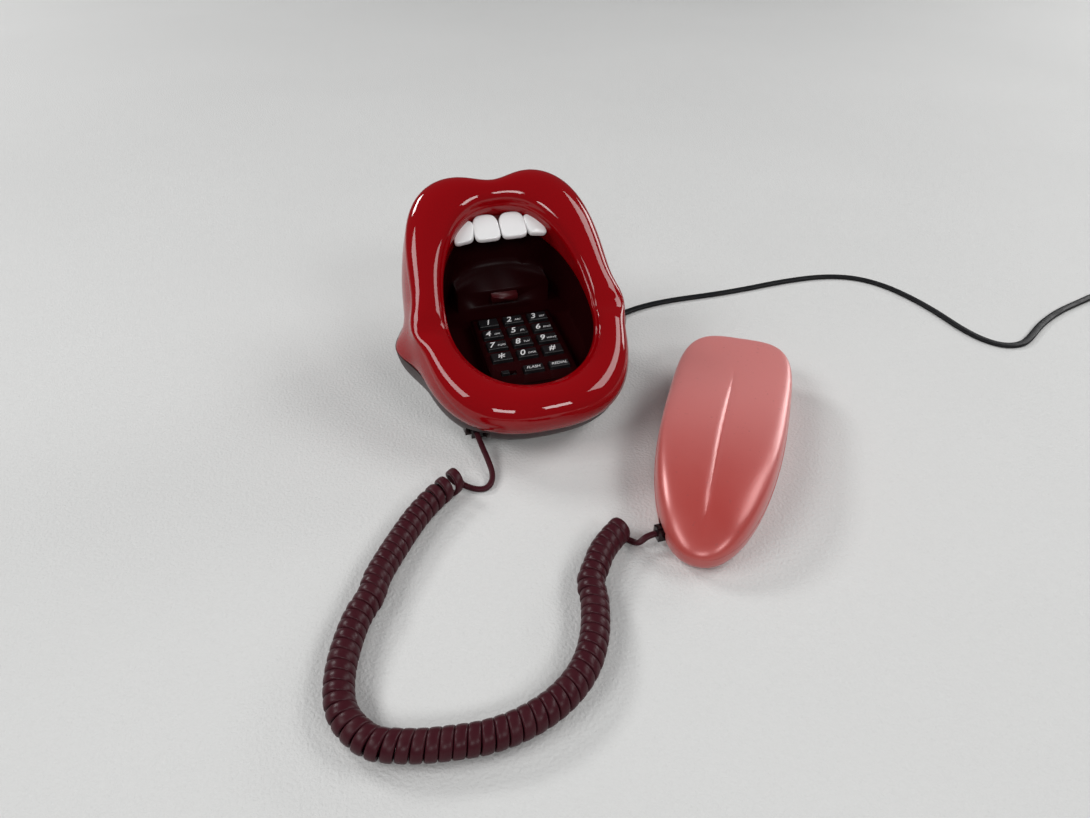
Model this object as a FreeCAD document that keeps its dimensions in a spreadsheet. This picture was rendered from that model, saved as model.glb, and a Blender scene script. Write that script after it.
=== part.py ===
import FreeCAD, Part
import math
import os
import Sketcher
from FreeCAD import Placement, Rotation, Vector

# Novelty telephone: a base shaped as open lips with a keypad in the mouth, and a tongue handset.
# Millimetres. X to the right, front towards -Y, Z up, origin on the table below the base.

document = FreeCAD.newDocument("lips_telephone")
sheet = document.addObject("Spreadsheet::Sheet", "dims")

SIZES = {
    # mouth ring: the tilted frame that the lips go round
    "mouth_tilt": 35, "mouth_y": -20.5, "mouth_height": 65.5,
    "opening_half_width": 43, "opening_rise": 68, "opening_drop": 48, "opening_bow": 2,
    "lip_half_width": 60, "lip_rise": 93, "lip_drop": 74, "lip_bow": 8, "lip_corner_reach": 4,
    "upper_lip_power": 3.5, "lower_lip_power": 2.6,
    "lip_foot": 3, "corner_foot": 9, "lower_crest": 12, "upper_crest": 11, "corner_crest": 6,
    "throat_depth": 4, "throat_slope": 10, "shell_wall": 2.4, "skirt_bulge": 0.1,
    # parting between the lips shell and the tray
    "rim_half_width": 62, "rim_reach": 72, "rim_corner_reach": 11, "rim_height": 14, "rim_slope": 18,
    "tray_half_width": 49, "tray_front": 62, "tray_rear": 58, "tray_floor": 2.6, "foot_height": 2.5,
    "foot_diameter": 10, "foot_tread": 8.4, "foot_x": 34, "foot_front_y": -34, "foot_rear_y": 38,
    # case screws and their posts
    "side_post_x": 51.5, "side_post_y": 14, "rear_post_x": 22, "rear_post_y": 55.5,
    "post_diameter": 8, "post_end": 4, "case_screw_diameter": 3, "case_screw_head": 5.6,
    "case_screw_head_height": 2, "case_screw_grip": 8, "screw_clearance": 0.2,
    # mouth liner and keypad deck
    "deck_height": 42, "deck_tilt": 8, "deck_front": 52, "deck_rear": 48, "deck_half_width": 38,
    "liner_wall": 2, "podium_rise": 5, "podium_half_width": 24.8, "podium_rear": 9.5, "podium_front": 51,
    "step_front": 25, "step_rise": 9.5, "step_half_width": 29,
    # keys
    "column_pitch": 15.3, "row_pitch": 10.7, "first_row": 2.6, "function_row": -42.9,
    "cap_width": 12, "cap_depth": 7.4, "function_cap_depth": 5.6, "cap_rise": 2.2, "cap_round": 0.8,
    "key_gap": 0.3, "key_flange": 1, "key_float": 0.15, "key_travel": 1.2,
    "slide_x": -14.5, "slide_length": 4.6, "slide_depth": 3, "slide_rise": 1.6, "slide_travel": 4,
    # boards and hook
    "board_thickness": 1.6, "board_gap": 3, "board_half_width": 34, "board_front": 47, "board_rear": 45,
    "board_screw_x": 31, "board_screw_front": -36, "board_screw_rear": 18, "board_post_diameter": 6,
    "board_screw_diameter": 2.5, "board_screw_head": 4.6, "board_screw_head_height": 1.6,
    "mat_sheet": 1, "mat_pad_diameter": 5.5, "mat_margin": 1,
    "hook_width": 16, "hook_height": 5, "hook_reach": 4, "hook_level": 4, "hook_travel": 3,
    "hook_stem": 3, "switch_width": 12, "switch_depth": 9,
    # things on the tray floor
    "ballast_length": 64, "ballast_depth": 40, "ballast_thickness": 5, "ballast_y": 22,
    "ringer_diameter": 30, "ringer_thickness": 4, "ringer_y": -26, "slot_width": 2, "slot_pitch": 4.5,
    # teeth
    "tooth_edge": 48, "tooth_length": 17.5, "tooth_thickness": 5, "tooth_round": 1.3, "tooth_gap": 0.5,
    "tooth_crown": 5, "tooth_corner": 2.4, "tooth_level": 4, "front_tooth": 16.5, "side_tooth": 12,
    "tooth_space": 0.3, "tooth_turn": 14, "tooth_drop": 1, "tooth_arch": 16, "gum_share": 0.5,
    # modular jacks and plugs
    "jack_width": 11, "jack_height": 9, "jack_length": 15, "plug_width": 6.4, "plug_height": 6,
    "plug_length": 12, "plug_depth": 6, "plug_gap": 0.2,
    "base_jack_x": -38, "base_jack_inset": 20, "hand_jack_x": 35, "hand_jack_y": -158.5,
    "hand_jack_length": 13, "latch_rise": 0.9,
    # handset
    "hand_x": 83.7, "hand_y": -115.4, "hand_turn": -33.2, "hand_half_width": 34.5, "hand_ear": 71,
    "hand_tip": 111.5, "hand_centre": 30, "ear_power": 3.8, "tip_power": 2.2, "hand_wall": 2.2,
    "hand_height": 29.3, "hand_fall": 1, "hand_parting": 16.5, "parting_slope": 4.35, "hand_ledge": 1.2,
    "crown_half_width": 4, "crown_half_length": 60, "crown_centre": 15, "crown_power": 2.6,
    "crease_depth": 2.6, "crease_half_length": 62, "crease_centre": -2, "crease_slope": 35,
    "hand_base_share": 0.8, "hand_screw_grip": 5,
    "receiver_y": 50, "receiver_diameter": 34, "receiver_height": 9, "receiver_magnet": 20,
    "gasket_thickness": 1, "gasket_hole": 24,
    "microphone_y": -40, "microphone_diameter": 9.7, "microphone_height": 6.5, "boot_wall": 1.5,
    "hand_screw_rear": 16, "hand_screw_front": -26, "sound_hole": 2, "cup_wall": 1.6,
    # cords
    "curl_wire": 3.8, "curl_diameter": 13.3, "curl_pitch": 5.4, "curl_height": 6.7,
    "line_width": 5, "line_thickness": 2.4, "line_round": 1.1, "line_exit": 8.6,
    "coil_step": 5.6, "coil_layer": 2.9, "coil_turns": 4, "coil_outer": 37, "coil_lead": 14,
    "tie_thickness": 0.5, "tie_width": 8, "tie_gap": 0.3,
    "line_plug_width": 9.6, "line_plug_height": 6.6, "line_plug_length": 20, "line_plug_lead": 26,
    "line_plug_aside": 1.5,
    "grommet_wall": 2, "grommet_length": 12, "grommet_turn": 32, "grommet_reach": 54.5,
}
for row, (name, value) in enumerate(SIZES.items(), start=1):
    sheet.set(f"A{row}", name)
    sheet.set(f"B{row}", str(value))
    sheet.setAlias(f"B{row}", name)
document.recompute()

# Longer than anything in the base, for cutters that go right through
FAR = 200

subparts = []


def dim(name):
    """Read one driving dimension from the sheet."""
    return float(sheet.get(name))


def keep(item, label, place=None):
    """Give a finished object its label and place, and list it for export."""
    item.Label = label
    if place is not None:
        item.Placement = place
    subparts.append(item)
    return item


def feature(label, shape, place=None):
    """Keep a free-form shape as a sub-part."""
    item = document.addObject("Part::Feature", label)
    item.Shape = shape
    return keep(item, label, place)


def primitive(kind, name, sizes, place):
    """Make a Part primitive whose sizes are bound to the sheet."""
    item = document.addObject(f"Part::{kind}", name)
    for size, expression in sizes.items():
        item.setExpression(size, expression)
    item.Placement = place
    return item


def boolean(kind, name, base, tool):
    """Join or cut two document objects."""
    item = document.addObject(f"Part::{kind}", name)
    item.Base = base
    item.Tool = tool
    return item


def at(x=0.0, y=0.0, z=0.0, turn=None):
    """Short form of a placement."""
    return Placement(Vector(x, y, z), turn or Rotation())


def block(x_range, y_range, z_range):
    """Box between two limits on each axis."""
    low = Vector(x_range[0], y_range[0], z_range[0])
    return Part.makeBox(x_range[1] - x_range[0], y_range[1] - y_range[0], z_range[1] - z_range[0], low)


def rod(radius, x, y, low, high):
    """Upright cylinder between two heights."""
    return Part.makeCylinder(radius, high - low, Vector(x, y, low))


def placed(shape, place):
    """Copy of a shape moved by a placement."""
    moved = shape.copy()
    moved.Placement = place.multiply(moved.Placement)
    return moved


# Smooth skins: rows of ring points become one surface, closed round the ring

RING_POINTS = 36
RING = [math.radians(-90 + 360 * step / RING_POINTS) for step in range(RING_POINTS)]


def sharpened(before, here, after):
    """Pole that makes a cubic pass close to its point."""
    return here - (before - here * 2 + after) * (1 / 6)


def skin(rows):
    """Surface through rows of ring points, with its first and last edge as wires."""
    count = len(rows[0])
    poles = [[sharpened(row[i - 1], row[i], row[(i + 1) % count]) for i in range(count)] for row in rows]
    inner = [
        [sharpened(poles[j - 1][i], poles[j][i], poles[j + 1][i]) for i in range(count)]
        for j in range(1, len(rows) - 1)
    ]
    surface = Part.BSplineSurface()
    surface.buildFromPolesMultsKnots(
        [poles[0]] + inner + [poles[-1]],
        [4] + [1] * (len(rows) - 4) + [4], [1] * (count + 1),
        list(range(len(rows) - 2)), list(range(count + 1)), False, True, 3, 3,
    )
    face = surface.toShape()
    closed = [edge for edge in face.Edges if edge.isClosed()]
    ends = [
        min(closed, key=lambda edge: edge.Vertexes[0].Point.distanceToPoint(row[0]))
        for row in (rows[0], rows[-1])
    ]
    return face, Part.Wire([ends[0]]), Part.Wire([ends[1]])


def annulus(outer, inner):
    """Flat ring between two wires in one plane."""
    return Part.Face(outer).cut(Part.Face(inner)).Faces


def closed_solid(faces):
    """Sew faces into one solid that points outwards."""
    shell = Part.Shell(faces)
    shell.sewShape()
    solid = Part.Solid(shell)
    if solid.Volume < 0:
        solid.reverse()
    return solid


def superellipse(angle, half_width, rise, drop, power):
    """Radius of an oval with its own reach above and below."""
    reach = rise if math.sin(angle) > 0 else drop
    across = abs(math.cos(angle) / half_width) ** power
    along = abs(math.sin(angle) / reach) ** power
    return (across + along) ** (-1 / power)


def bell(angle, centre, spread):
    """Smooth bump of height 1 around an angle in degrees."""
    offset = angle - math.radians(centre)
    turn = math.atan2(math.sin(offset), math.cos(offset))
    return math.exp(-((turn / math.radians(spread)) ** 2))


def corner(angle):
    """1 at the two corners of the mouth, 0 elsewhere."""
    return bell(angle, 0, 12) + bell(angle, 180, 12)


def spaced(points, count):
    """Points at equal steps along a polyline."""
    lengths = [0.0]
    for first, second in zip(points, points[1:]):
        lengths.append(lengths[-1] + first.distanceToPoint(second))
    result = []
    for step in range(count + 1):
        goal = lengths[-1] * step / count
        index = max(i for i in range(len(points) - 1) if lengths[i] <= goal + 1e-9)
        share = (goal - lengths[index]) / (lengths[index + 1] - lengths[index])
        result.append(points[index] + (points[index + 1] - points[index]) * share)
    return result


# Lips

MOUTH_TILT = math.radians(dim("mouth_tilt"))
MOUTH_CENTRE = Vector(0, dim("mouth_y"), dim("mouth_height"))
MOUTH_UP = Vector(0, math.cos(MOUTH_TILT), math.sin(MOUTH_TILT))
MOUTH_OUT = Vector(0, -math.sin(MOUTH_TILT), math.cos(MOUTH_TILT))
SHELL_WALL = dim("shell_wall")


def opening_radius(angle):
    """Inner edge of the lips in the mouth plane."""
    oval = superellipse(angle, dim("opening_half_width"), dim("opening_rise"), dim("opening_drop"), 2.1)
    return oval - dim("opening_bow") * bell(angle, 90, 12)


def lip_radius(angle):
    """Outer edge of the lips in the mouth plane, boxier above, with the bow of the upper lip."""
    power = dim("upper_lip_power") if math.sin(angle) > 0 else dim("lower_lip_power")
    oval = superellipse(angle, dim("lip_half_width"), dim("lip_rise"), dim("lip_drop"), power)
    return oval - dim("lip_bow") * bell(angle, 90, 11) + dim("lip_corner_reach") * corner(angle)


def between_corner_and_middle(angle, at_corner, at_bottom, at_top):
    """Ease a value from the corners of the mouth to the middle of each lip."""
    middle = at_top if math.sin(angle) > 0 else at_bottom
    return at_corner + (middle - at_corner) * math.sin(angle) ** 2


def mouth_point(angle, radius, out):
    """Point given round the mouth ring."""
    across = Vector(radius * math.cos(angle), 0, 0)
    return MOUTH_CENTRE + across + MOUTH_UP * (radius * math.sin(angle)) + MOUTH_OUT * out


def lip_point(angle, turn, inset):
    """Point on the half oval of a lip; turn 0 is its outer edge, 180 its inner edge."""
    inner, outer = opening_radius(angle), lip_radius(angle)
    foot = -between_corner_and_middle(angle, dim("corner_foot"), dim("lip_foot"), dim("lip_foot"))
    crest = between_corner_and_middle(angle, dim("corner_crest"), dim("lower_crest"), dim("upper_crest"))
    radius = (inner + outer) / 2 + ((outer - inner) / 2 - inset) * math.cos(math.radians(turn))
    return mouth_point(angle, radius, foot + (crest - inset) * math.sin(math.radians(turn)))


def throat_point(angle, inset):
    """Point on the slanted plane where the lips end inside the mouth."""
    radius = opening_radius(angle) + inset
    along = radius * math.sin(angle) + dim("opening_drop")
    slope = math.tan(math.radians(dim("throat_slope")))
    return mouth_point(angle, radius, -dim("throat_depth") - along * slope)


def rim_level(y):
    """Height of the slanted parting plane."""
    return dim("rim_height") + (y + dim("rim_reach")) * math.tan(math.radians(dim("rim_slope")))


def rim_point(angle, inset):
    """Point on the parting line of shell and tray."""
    oval = superellipse(angle, dim("rim_half_width"), dim("rim_reach"), dim("rim_reach"), 2.6)
    radius = oval + dim("rim_corner_reach") * corner(angle) - inset
    y = radius * math.sin(angle)
    return Vector(radius * math.cos(angle), y, rim_level(y))


def lips_profile(angle, inset):
    """Section of the shell from its rim over the lip into the throat."""
    start, edge = rim_point(angle, inset), lip_point(angle, 0, inset)
    rise = edge - start
    outward = Vector(math.cos(angle), math.sin(angle), 0)
    bulge = dim("skirt_bulge") * rise.Length * (1 - 2 * corner(angle))
    points = [start + rise * (i / 8) + outward * (bulge * 4 * (i / 8) * (1 - i / 8)) for i in range(8)]
    points += [lip_point(angle, turn, inset) for turn in range(0, 181, 12)]
    end = throat_point(angle, inset)
    return points + [points[-1] + (end - points[-1]) * (i / 4) for i in range(1, 5)]


def skin_of(profile, rows):
    """Skin whose rows lie at equal shares of each ring section."""
    sections = [spaced(profile(angle), rows) for angle in RING]
    return skin([[section[row] for section in sections] for row in range(rows + 1)])


def above_parting():
    """Half space over the parting plane, as a large slab."""
    slab = block((-FAR, FAR), (-FAR, FAR), (0, FAR))
    return placed(slab, at(0, 0, rim_level(0), Rotation(Vector(1, 0, 0), dim("rim_slope"))))


POSTS = [(side * dim(f"{end}_post_x"), dim(f"{end}_post_y")) for end in ("side", "rear") for side in (-1, 1)]


def lips_shell():
    """Glossy shell: skirt, lips and throat, with a screw boss over each post of the tray."""
    outside, outer_rim, outer_throat = skin_of(lambda angle: lips_profile(angle, 0), 10)
    inside, inner_rim, inner_throat = skin_of(lambda angle: lips_profile(angle, SHELL_WALL), 10)
    rings = annulus(outer_rim, inner_rim) + annulus(inner_throat, outer_throat)
    shell = closed_solid([outside, inside] + rings)
    filled = closed_solid([outside, Part.Face(outer_rim), Part.Face(outer_throat)])
    slab = above_parting()
    radius = dim("post_diameter") / 2
    pilot = (dim("case_screw_diameter") + dim("screw_clearance")) / 2
    for x, y in POSTS:
        boss = rod(radius, x, y, 0, FAR).common(slab).common(filled)
        shell = shell.fuse(boss)
    for x, y in POSTS:
        seat = rim_level(y)
        shell = shell.cut(rod(pilot, x, y, seat - radius, seat + dim("case_screw_grip") + 1))
    return shell


# Tray

TRAY_FLOOR_TOP = dim("foot_height") + dim("tray_floor")
BASE_JACK_FRONT = dim("base_jack_inset") - dim("rim_reach")


def tray_point(angle, share, inset):
    """Point on the tray wall, from the floor (share 0) to the rim (share 1)."""
    foot = superellipse(angle, dim("tray_half_width"), dim("tray_rear"), dim("tray_front"), 2.6)
    rim = rim_point(angle, 0)
    reach = foot + (math.hypot(rim.x, rim.y) - foot) * math.sin(share * math.pi / 2) - inset
    z = dim("foot_height") + (rim.z - dim("foot_height")) * share
    return Vector(reach * math.cos(angle), reach * math.sin(angle), z)


def tray_profile(angle, low, inset):
    """Section of the tray wall from a height up to the rim."""
    height = rim_point(angle, 0).z - dim("foot_height")
    first = (low - dim("foot_height")) / height
    points = [tray_point(angle, first + (1 - first) * i / 10, inset) for i in range(10)]
    return points + [rim_point(angle, inset)]


def base_tray():
    """Dark tray: floor, flared wall, screw posts, ringer slots, jack slot and cord hole."""
    outside, outer_foot, outer_rim = skin_of(lambda angle: tray_profile(angle, dim("foot_height"), 0), 5)
    inside, inner_foot, inner_rim = skin_of(lambda angle: tray_profile(angle, TRAY_FLOOR_TOP, SHELL_WALL), 5)
    faces = [outside, inside, Part.Face(outer_foot), Part.Face(inner_foot)] + annulus(outer_rim, inner_rim)
    tray = closed_solid(faces)
    filled = closed_solid([outside, Part.Face(outer_foot), Part.Face(outer_rim)])
    hole = (dim("case_screw_diameter") + dim("screw_clearance")) / 2
    recess = dim("case_screw_head") / 2 + dim("screw_clearance")
    for x, y in POSTS:
        tray = tray.fuse(rod(dim("post_diameter") / 2, x, y, dim("foot_height"), FAR).common(filled))
    for x, y in POSTS:
        tray = tray.cut(rod(hole, x, y, 0, FAR))
        tray = tray.cut(rod(recess, x, y, 0, rim_level(y) - dim("post_end")))
    for step in range(-2, 3):
        offset = step * dim("slot_pitch")
        half = math.sqrt((dim("ringer_diameter") / 2 - dim("slot_pitch")) ** 2 - offset ** 2)
        low = dim("ringer_y") + offset - dim("slot_width") / 2
        tray = tray.cut(block((-half, half), (low, low + dim("slot_width")), (0, TRAY_FLOOR_TOP + 1)))
    half = dim("jack_width") / 2 + dim("key_gap")
    jack = block(
        (dim("base_jack_x") - half, dim("base_jack_x") + half),
        (BASE_JACK_FRONT - 2 * dim("jack_length"), BASE_JACK_FRONT + dim("jack_length")),
        (TRAY_FLOOR_TOP, TRAY_FLOOR_TOP + dim("jack_height") + dim("key_gap")),
    )
    tray = tray.cut(jack)
    return tray.cut(placed(grommet_body(3 * dim("grommet_length")), GROMMET))


# Mouth liner, in the tilted frame of the keypad deck

DECK = at(0, 0, dim("deck_height"), Rotation(Vector(1, 0, 0), dim("deck_tilt")))
FLOOR = -dim("podium_rise")
FLOOR_UNDER = FLOOR - dim("liner_wall")
PODIUM_UNDER = -dim("liner_wall")
BOARD_TOP = FLOOR_UNDER - dim("board_gap")
BOARD_POSTS = [
    (side * dim("board_screw_x"), dim(f"board_screw_{end}")) for end in ("front", "rear") for side in (-1, 1)
]
KEY_TAPER = -3.0
DIGITS = [["1", "2", "3"], ["4", "5", "6"], ["7", "8", "9"], ["star", "0", "hash"]]


def key_places():
    """Name, middle and cap depth of every key on the deck."""
    places = []
    for row, names in enumerate(DIGITS):
        for column, name in enumerate(names):
            x = (column - 1) * dim("column_pitch")
            places.append((f"key_{name}", x, dim("first_row") - row * dim("row_pitch"), "cap_depth"))
    for column, name in enumerate(("flash_key", "redial_key")):
        places.append((name, column * dim("column_pitch"), dim("function_row"), "function_cap_depth"))
    return places


def deck_point(angle, inset, level):
    """Point on the outline of the liner floor."""
    radius = superellipse(angle, dim("deck_half_width"), dim("deck_rear"), dim("deck_front"), 3.5) + inset
    return DECK.multVec(Vector(radius * math.cos(angle), radius * math.sin(angle), level))


def liner_skin(inset, level):
    """Straight wall from the throat of the lips down to the liner floor."""
    rows = []
    for step in range(4):
        share = step / 3
        row = []
        for angle in RING:
            top, foot = throat_point(angle, inset), deck_point(angle, inset, level)
            row.append(top + (foot - top) * share)
        rows.append(row)
    return skin(rows)


def mouth_liner():
    """Dark cavity: slanted walls, floor, raised keypad podium and the hollow step at the back."""
    wall = dim("liner_wall")
    outside, outer_top, outer_foot = liner_skin(wall, FLOOR_UNDER)
    inside, inner_top, inner_foot = liner_skin(0, FLOOR)
    liner = closed_solid(
        [outside, inside, Part.Face(outer_foot), Part.Face(inner_foot)] + annulus(outer_top, inner_top)
    )
    filled = closed_solid([outside, Part.Face(outer_top), Part.Face(outer_foot)])
    wide, rear, front = dim("podium_half_width"), dim("podium_rear"), dim("podium_front")
    podium = block((-wide, wide), (-front - wall, rear), (FLOOR - wall / 2, 0))
    step_wide, step_front, step_top = dim("step_half_width"), dim("step_front"), dim("step_rise")
    step_rear = dim("deck_rear") + 2 * wall
    step = block((-step_wide, step_wide), (step_front, step_rear), (FLOOR - wall / 2, step_top))
    for raised in (podium, step):
        liner = liner.fuse(placed(raised, DECK).common(filled))
    hollows = [
        block((-wide + wall, wide - wall), (-front + 2 * wall, rear - wall),
              (FLOOR_UNDER - 1, PODIUM_UNDER)),
        block((-step_wide + wall, step_wide - wall), (step_front + wall, dim("deck_rear") - wall),
              (FLOOR_UNDER - 1, step_top - wall)),
        hook_slot(),
        slide_slot(),
    ]
    gap = dim("key_gap")
    for _, x, y, depth in key_places():
        half_x, half_y = dim("cap_width") / 2 + gap, dim(depth) / 2 + gap
        hollows.append(block((x - half_x, x + half_x), (y - half_y, y + half_y), (PODIUM_UNDER - 1, 1)))
    for x, y in BOARD_POSTS:
        post = rod(dim("board_post_diameter") / 2, x, y, BOARD_TOP, FLOOR_UNDER + wall / 2)
        liner = liner.fuse(placed(post, DECK))
        pilot = (dim("board_screw_diameter") + dim("screw_clearance")) / 2
        hollows.append(rod(pilot, x, y, BOARD_TOP - 1, FLOOR - wall / 2))
    for hollow in hollows:
        liner = liner.cut(placed(hollow, DECK))
    return liner


def hook_slot():
    """Slot for the hook lever in the front wall of the step."""
    half_x = dim("hook_width") / 2 + dim("key_gap")
    half_z = dim("hook_height") / 2 + dim("key_gap")
    front = dim("step_front")
    return block((-half_x, half_x), (front - 1, front + dim("liner_wall") + 1),
                 (dim("hook_level") - half_z, dim("hook_level") + half_z))


def slide_slot():
    """Slot for the slide switch knob in the podium."""
    half_x = (dim("slide_length") + dim("slide_travel")) / 2 + dim("key_gap")
    half_y = dim("slide_depth") / 2 + dim("key_gap")
    x, y = dim("slide_x"), dim("function_row")
    return block((x - half_x, x + half_x), (y - half_y, y + half_y), (PODIUM_UNDER - 1, 1))


# Sketched bodies

def new_body(label, place):
    """Empty body, listed for export."""
    return keep(document.addObject("PartDesign::Body", label), label, place)


def plane_of(body, role):
    """Origin plane of a body."""
    return next(item for item in body.Origin.OriginFeatures if item.Role == role)


def rectangle(body, name, width, depth, level=None):
    """Sketch of a rectangle around the body's axis, with sizes bound to the sheet."""
    sketch = body.newObject("Sketcher::SketchObject", name)
    sketch.AttachmentSupport = [(plane_of(body, "XY_Plane"), "")]
    sketch.MapMode = "FlatFace"
    if level is not None:
        sketch.setExpression("AttachmentOffset.Base.z", level)
    corners = [Vector(-2, -1, 0), Vector(2, -1, 0), Vector(2, 1, 0), Vector(-2, 1, 0)]
    for first, second in zip(corners, corners[1:] + corners[:1]):
        sketch.addGeometry(Part.LineSegment(first, second), False)
    for line in range(4):
        sketch.addConstraint(Sketcher.Constraint("Coincident", line, 2, (line + 1) % 4, 1))
    for line, kind in enumerate(("Horizontal", "Vertical", "Horizontal", "Vertical")):
        sketch.addConstraint(Sketcher.Constraint(kind, line))
    sketch.addConstraint(Sketcher.Constraint("Symmetric", 0, 1, 2, 1, -1, 1))
    for line, side, expression in ((0, "width", width), (1, "depth", depth)):
        index = sketch.addConstraint(Sketcher.Constraint("Distance", line, 4.0))
        sketch.renameConstraint(index, side)
        sketch.setExpression(f"Constraints.{side}", expression)
    return sketch


def circle(body, name, diameter, level=None):
    """Sketch of a circle round the body's axis, bound to the sheet."""
    sketch = body.newObject("Sketcher::SketchObject", name)
    sketch.AttachmentSupport = [(plane_of(body, "XY_Plane"), "")]
    sketch.MapMode = "FlatFace"
    if level is not None:
        sketch.setExpression("AttachmentOffset.Base.z", level)
    sketch.addGeometry(Part.Circle(Vector(0, 0, 0), Vector(0, 0, 1), 2), False)
    sketch.addConstraint(Sketcher.Constraint("Coincident", 0, 3, -1, 1))
    index = sketch.addConstraint(Sketcher.Constraint("Diameter", 0, 4.0))
    sketch.renameConstraint(index, "diameter")
    sketch.setExpression("Constraints.diameter", diameter)
    return sketch


def pad(body, sketch, height, taper=0.0):
    """Pad a sketch upwards by an expression."""
    item = body.newObject("PartDesign::Pad", sketch.Name + "_pad")
    item.Profile = sketch
    item.setExpression("Length", height)
    item.TaperAngle = taper
    return item


def pocket(body, sketch, depth):
    """Cut a sketch downwards by an expression."""
    item = body.newObject("PartDesign::Pocket", sketch.Name + "_pocket")
    item.Profile = sketch
    item.setExpression("Length", depth)
    return item


def round_top(body, last, radius):
    """Fillet the edges of the highest face of a body."""
    document.recompute()
    top = last.Shape.BoundBox.ZMax
    names = [
        f"Edge{i}" for i, edge in enumerate(last.Shape.Edges, start=1)
        if abs(edge.BoundBox.ZMin - top) < 1e-4
    ]
    item = body.newObject("PartDesign::Fillet", body.Name + "_round")
    item.Base = (last, names)
    item.setExpression("Radius", radius)
    return item


def deck_place(x, y, z):
    """Place in the global frame of a point on the keypad deck."""
    return DECK.multiply(at(x, y, z))


def keys():
    """Key caps: a flange below the podium and a tapered cap with a rounded top."""
    flange_low = PODIUM_UNDER - dim("key_float") - dim("key_flange")
    for name, x, y, depth in key_places():
        body = new_body(name, deck_place(x, y, flange_low))
        flange = rectangle(body, name + "_flange", "dims.cap_width + 2 * dims.key_flange",
                           f"dims.{depth} + 2 * dims.key_flange")
        pad(body, flange, "dims.key_flange")
        cap = rectangle(body, name + "_cap", "dims.cap_width", f"dims.{depth}", "dims.key_flange")
        rise = pad(body, cap, "dims.key_float + dims.liner_wall + dims.cap_rise", KEY_TAPER)
        round_top(body, rise, "dims.cap_round")


def mode_switch_knob():
    """Small slide switch knob, at the left end of its slot."""
    low = PODIUM_UNDER - dim("key_float") - dim("key_flange")
    x = dim("slide_x") - dim("slide_travel") / 2
    body = new_body("mode_switch_knob", deck_place(x, dim("function_row"), low))
    flange = rectangle(body, "slide_flange", "dims.slide_length + 2 * dims.key_flange",
                       "dims.slide_depth + 2 * dims.key_flange")
    pad(body, flange, "dims.key_flange")
    grip = rectangle(body, "slide_grip", "dims.slide_length", "dims.slide_depth", "dims.key_flange")
    rise = pad(body, grip, "dims.key_float + dims.liner_wall + dims.slide_rise", KEY_TAPER)
    round_top(body, rise, "dims.key_gap")


def hook_lever():
    """Lever in the step: a tab in the mouth, a stop flange behind the wall and a stem into the switch."""
    turn = Rotation(Vector(1, 0, 0), -90)
    front = dim("step_front") - dim("hook_reach")
    place = DECK.multiply(at(0, front, dim("hook_level"), turn))
    body = new_body("hook_lever", place)
    tab = rectangle(body, "hook_tab", "dims.hook_width", "dims.hook_height")
    pad(body, tab, "dims.hook_reach + dims.liner_wall + dims.key_float")
    flange_level = "dims.hook_reach + dims.liner_wall + dims.key_float"
    flange = rectangle(body, "hook_flange", "dims.hook_width + 2 * dims.key_flange",
                       "dims.hook_height + 2 * dims.key_flange", flange_level)
    pad(body, flange, "dims.key_flange")
    stem_level = flange_level + " + dims.key_flange"
    stem = rectangle(body, "hook_stem", "dims.hook_stem", "dims.hook_stem", stem_level)
    pad(body, stem, "dims.hook_travel + dims.key_flange + dims.key_float + dims.key_gap")


def hook_switch():
    """Switch on the board, with a well that the lever's stem runs in."""
    wall, gap = dim("liner_wall"), dim("key_gap")
    front = dim("step_front") + wall + dim("key_float") + dim("key_flange") + dim("hook_travel") + gap
    level = dim("hook_level")
    body = primitive("Box", "switch_body", {
        "Length": "dims.switch_width", "Width": "dims.switch_depth",
    }, at(-dim("switch_width") / 2, front, BOARD_TOP))
    body.Height = level + dim("hook_stem") - BOARD_TOP
    half = dim("hook_stem") / 2 + gap
    well = primitive("Box", "switch_well", {
        "Length": "dims.hook_stem + 2 * dims.key_gap", "Height": "dims.hook_stem + 2 * dims.key_gap",
    }, at(-half, front - 1, level - half))
    well.Width = 1 + dim("hook_travel") + dim("key_flange") + dim("key_float") + gap + 1
    keep(boolean("Cut", "hook_switch", body, well), "hook_switch", DECK)


def key_mat():
    """Rubber mat on the board with one pad below each key."""
    margin = dim("mat_margin")
    wide = dim("podium_half_width") - dim("liner_wall") - margin
    rear = dim("podium_rear") - dim("liner_wall") - margin
    front = -dim("podium_front") + 2 * dim("liner_wall") + margin
    top = PODIUM_UNDER - dim("key_float") - dim("key_flange") - dim("key_travel") - dim("key_float")
    sheet_box = primitive("Box", "mat_base", {"Height": "dims.mat_sheet"}, at(-wide, front, BOARD_TOP))
    sheet_box.Length = 2 * wide
    sheet_box.Width = rear - front
    pads = []
    for name, x, y, _ in key_places():
        cone = primitive("Cone", name + "_pad", {
            "Radius1": "dims.mat_pad_diameter / 2", "Radius2": "dims.mat_pad_diameter / 3",
        }, at(x, y, BOARD_TOP + dim("mat_sheet")))
        cone.Height = top - BOARD_TOP - dim("mat_sheet")
        pads.append(cone)
    mat = document.addObject("Part::MultiFuse", "mat")
    mat.Shapes = [sheet_box] + pads
    keep(mat, "key_mat", DECK)


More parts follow.
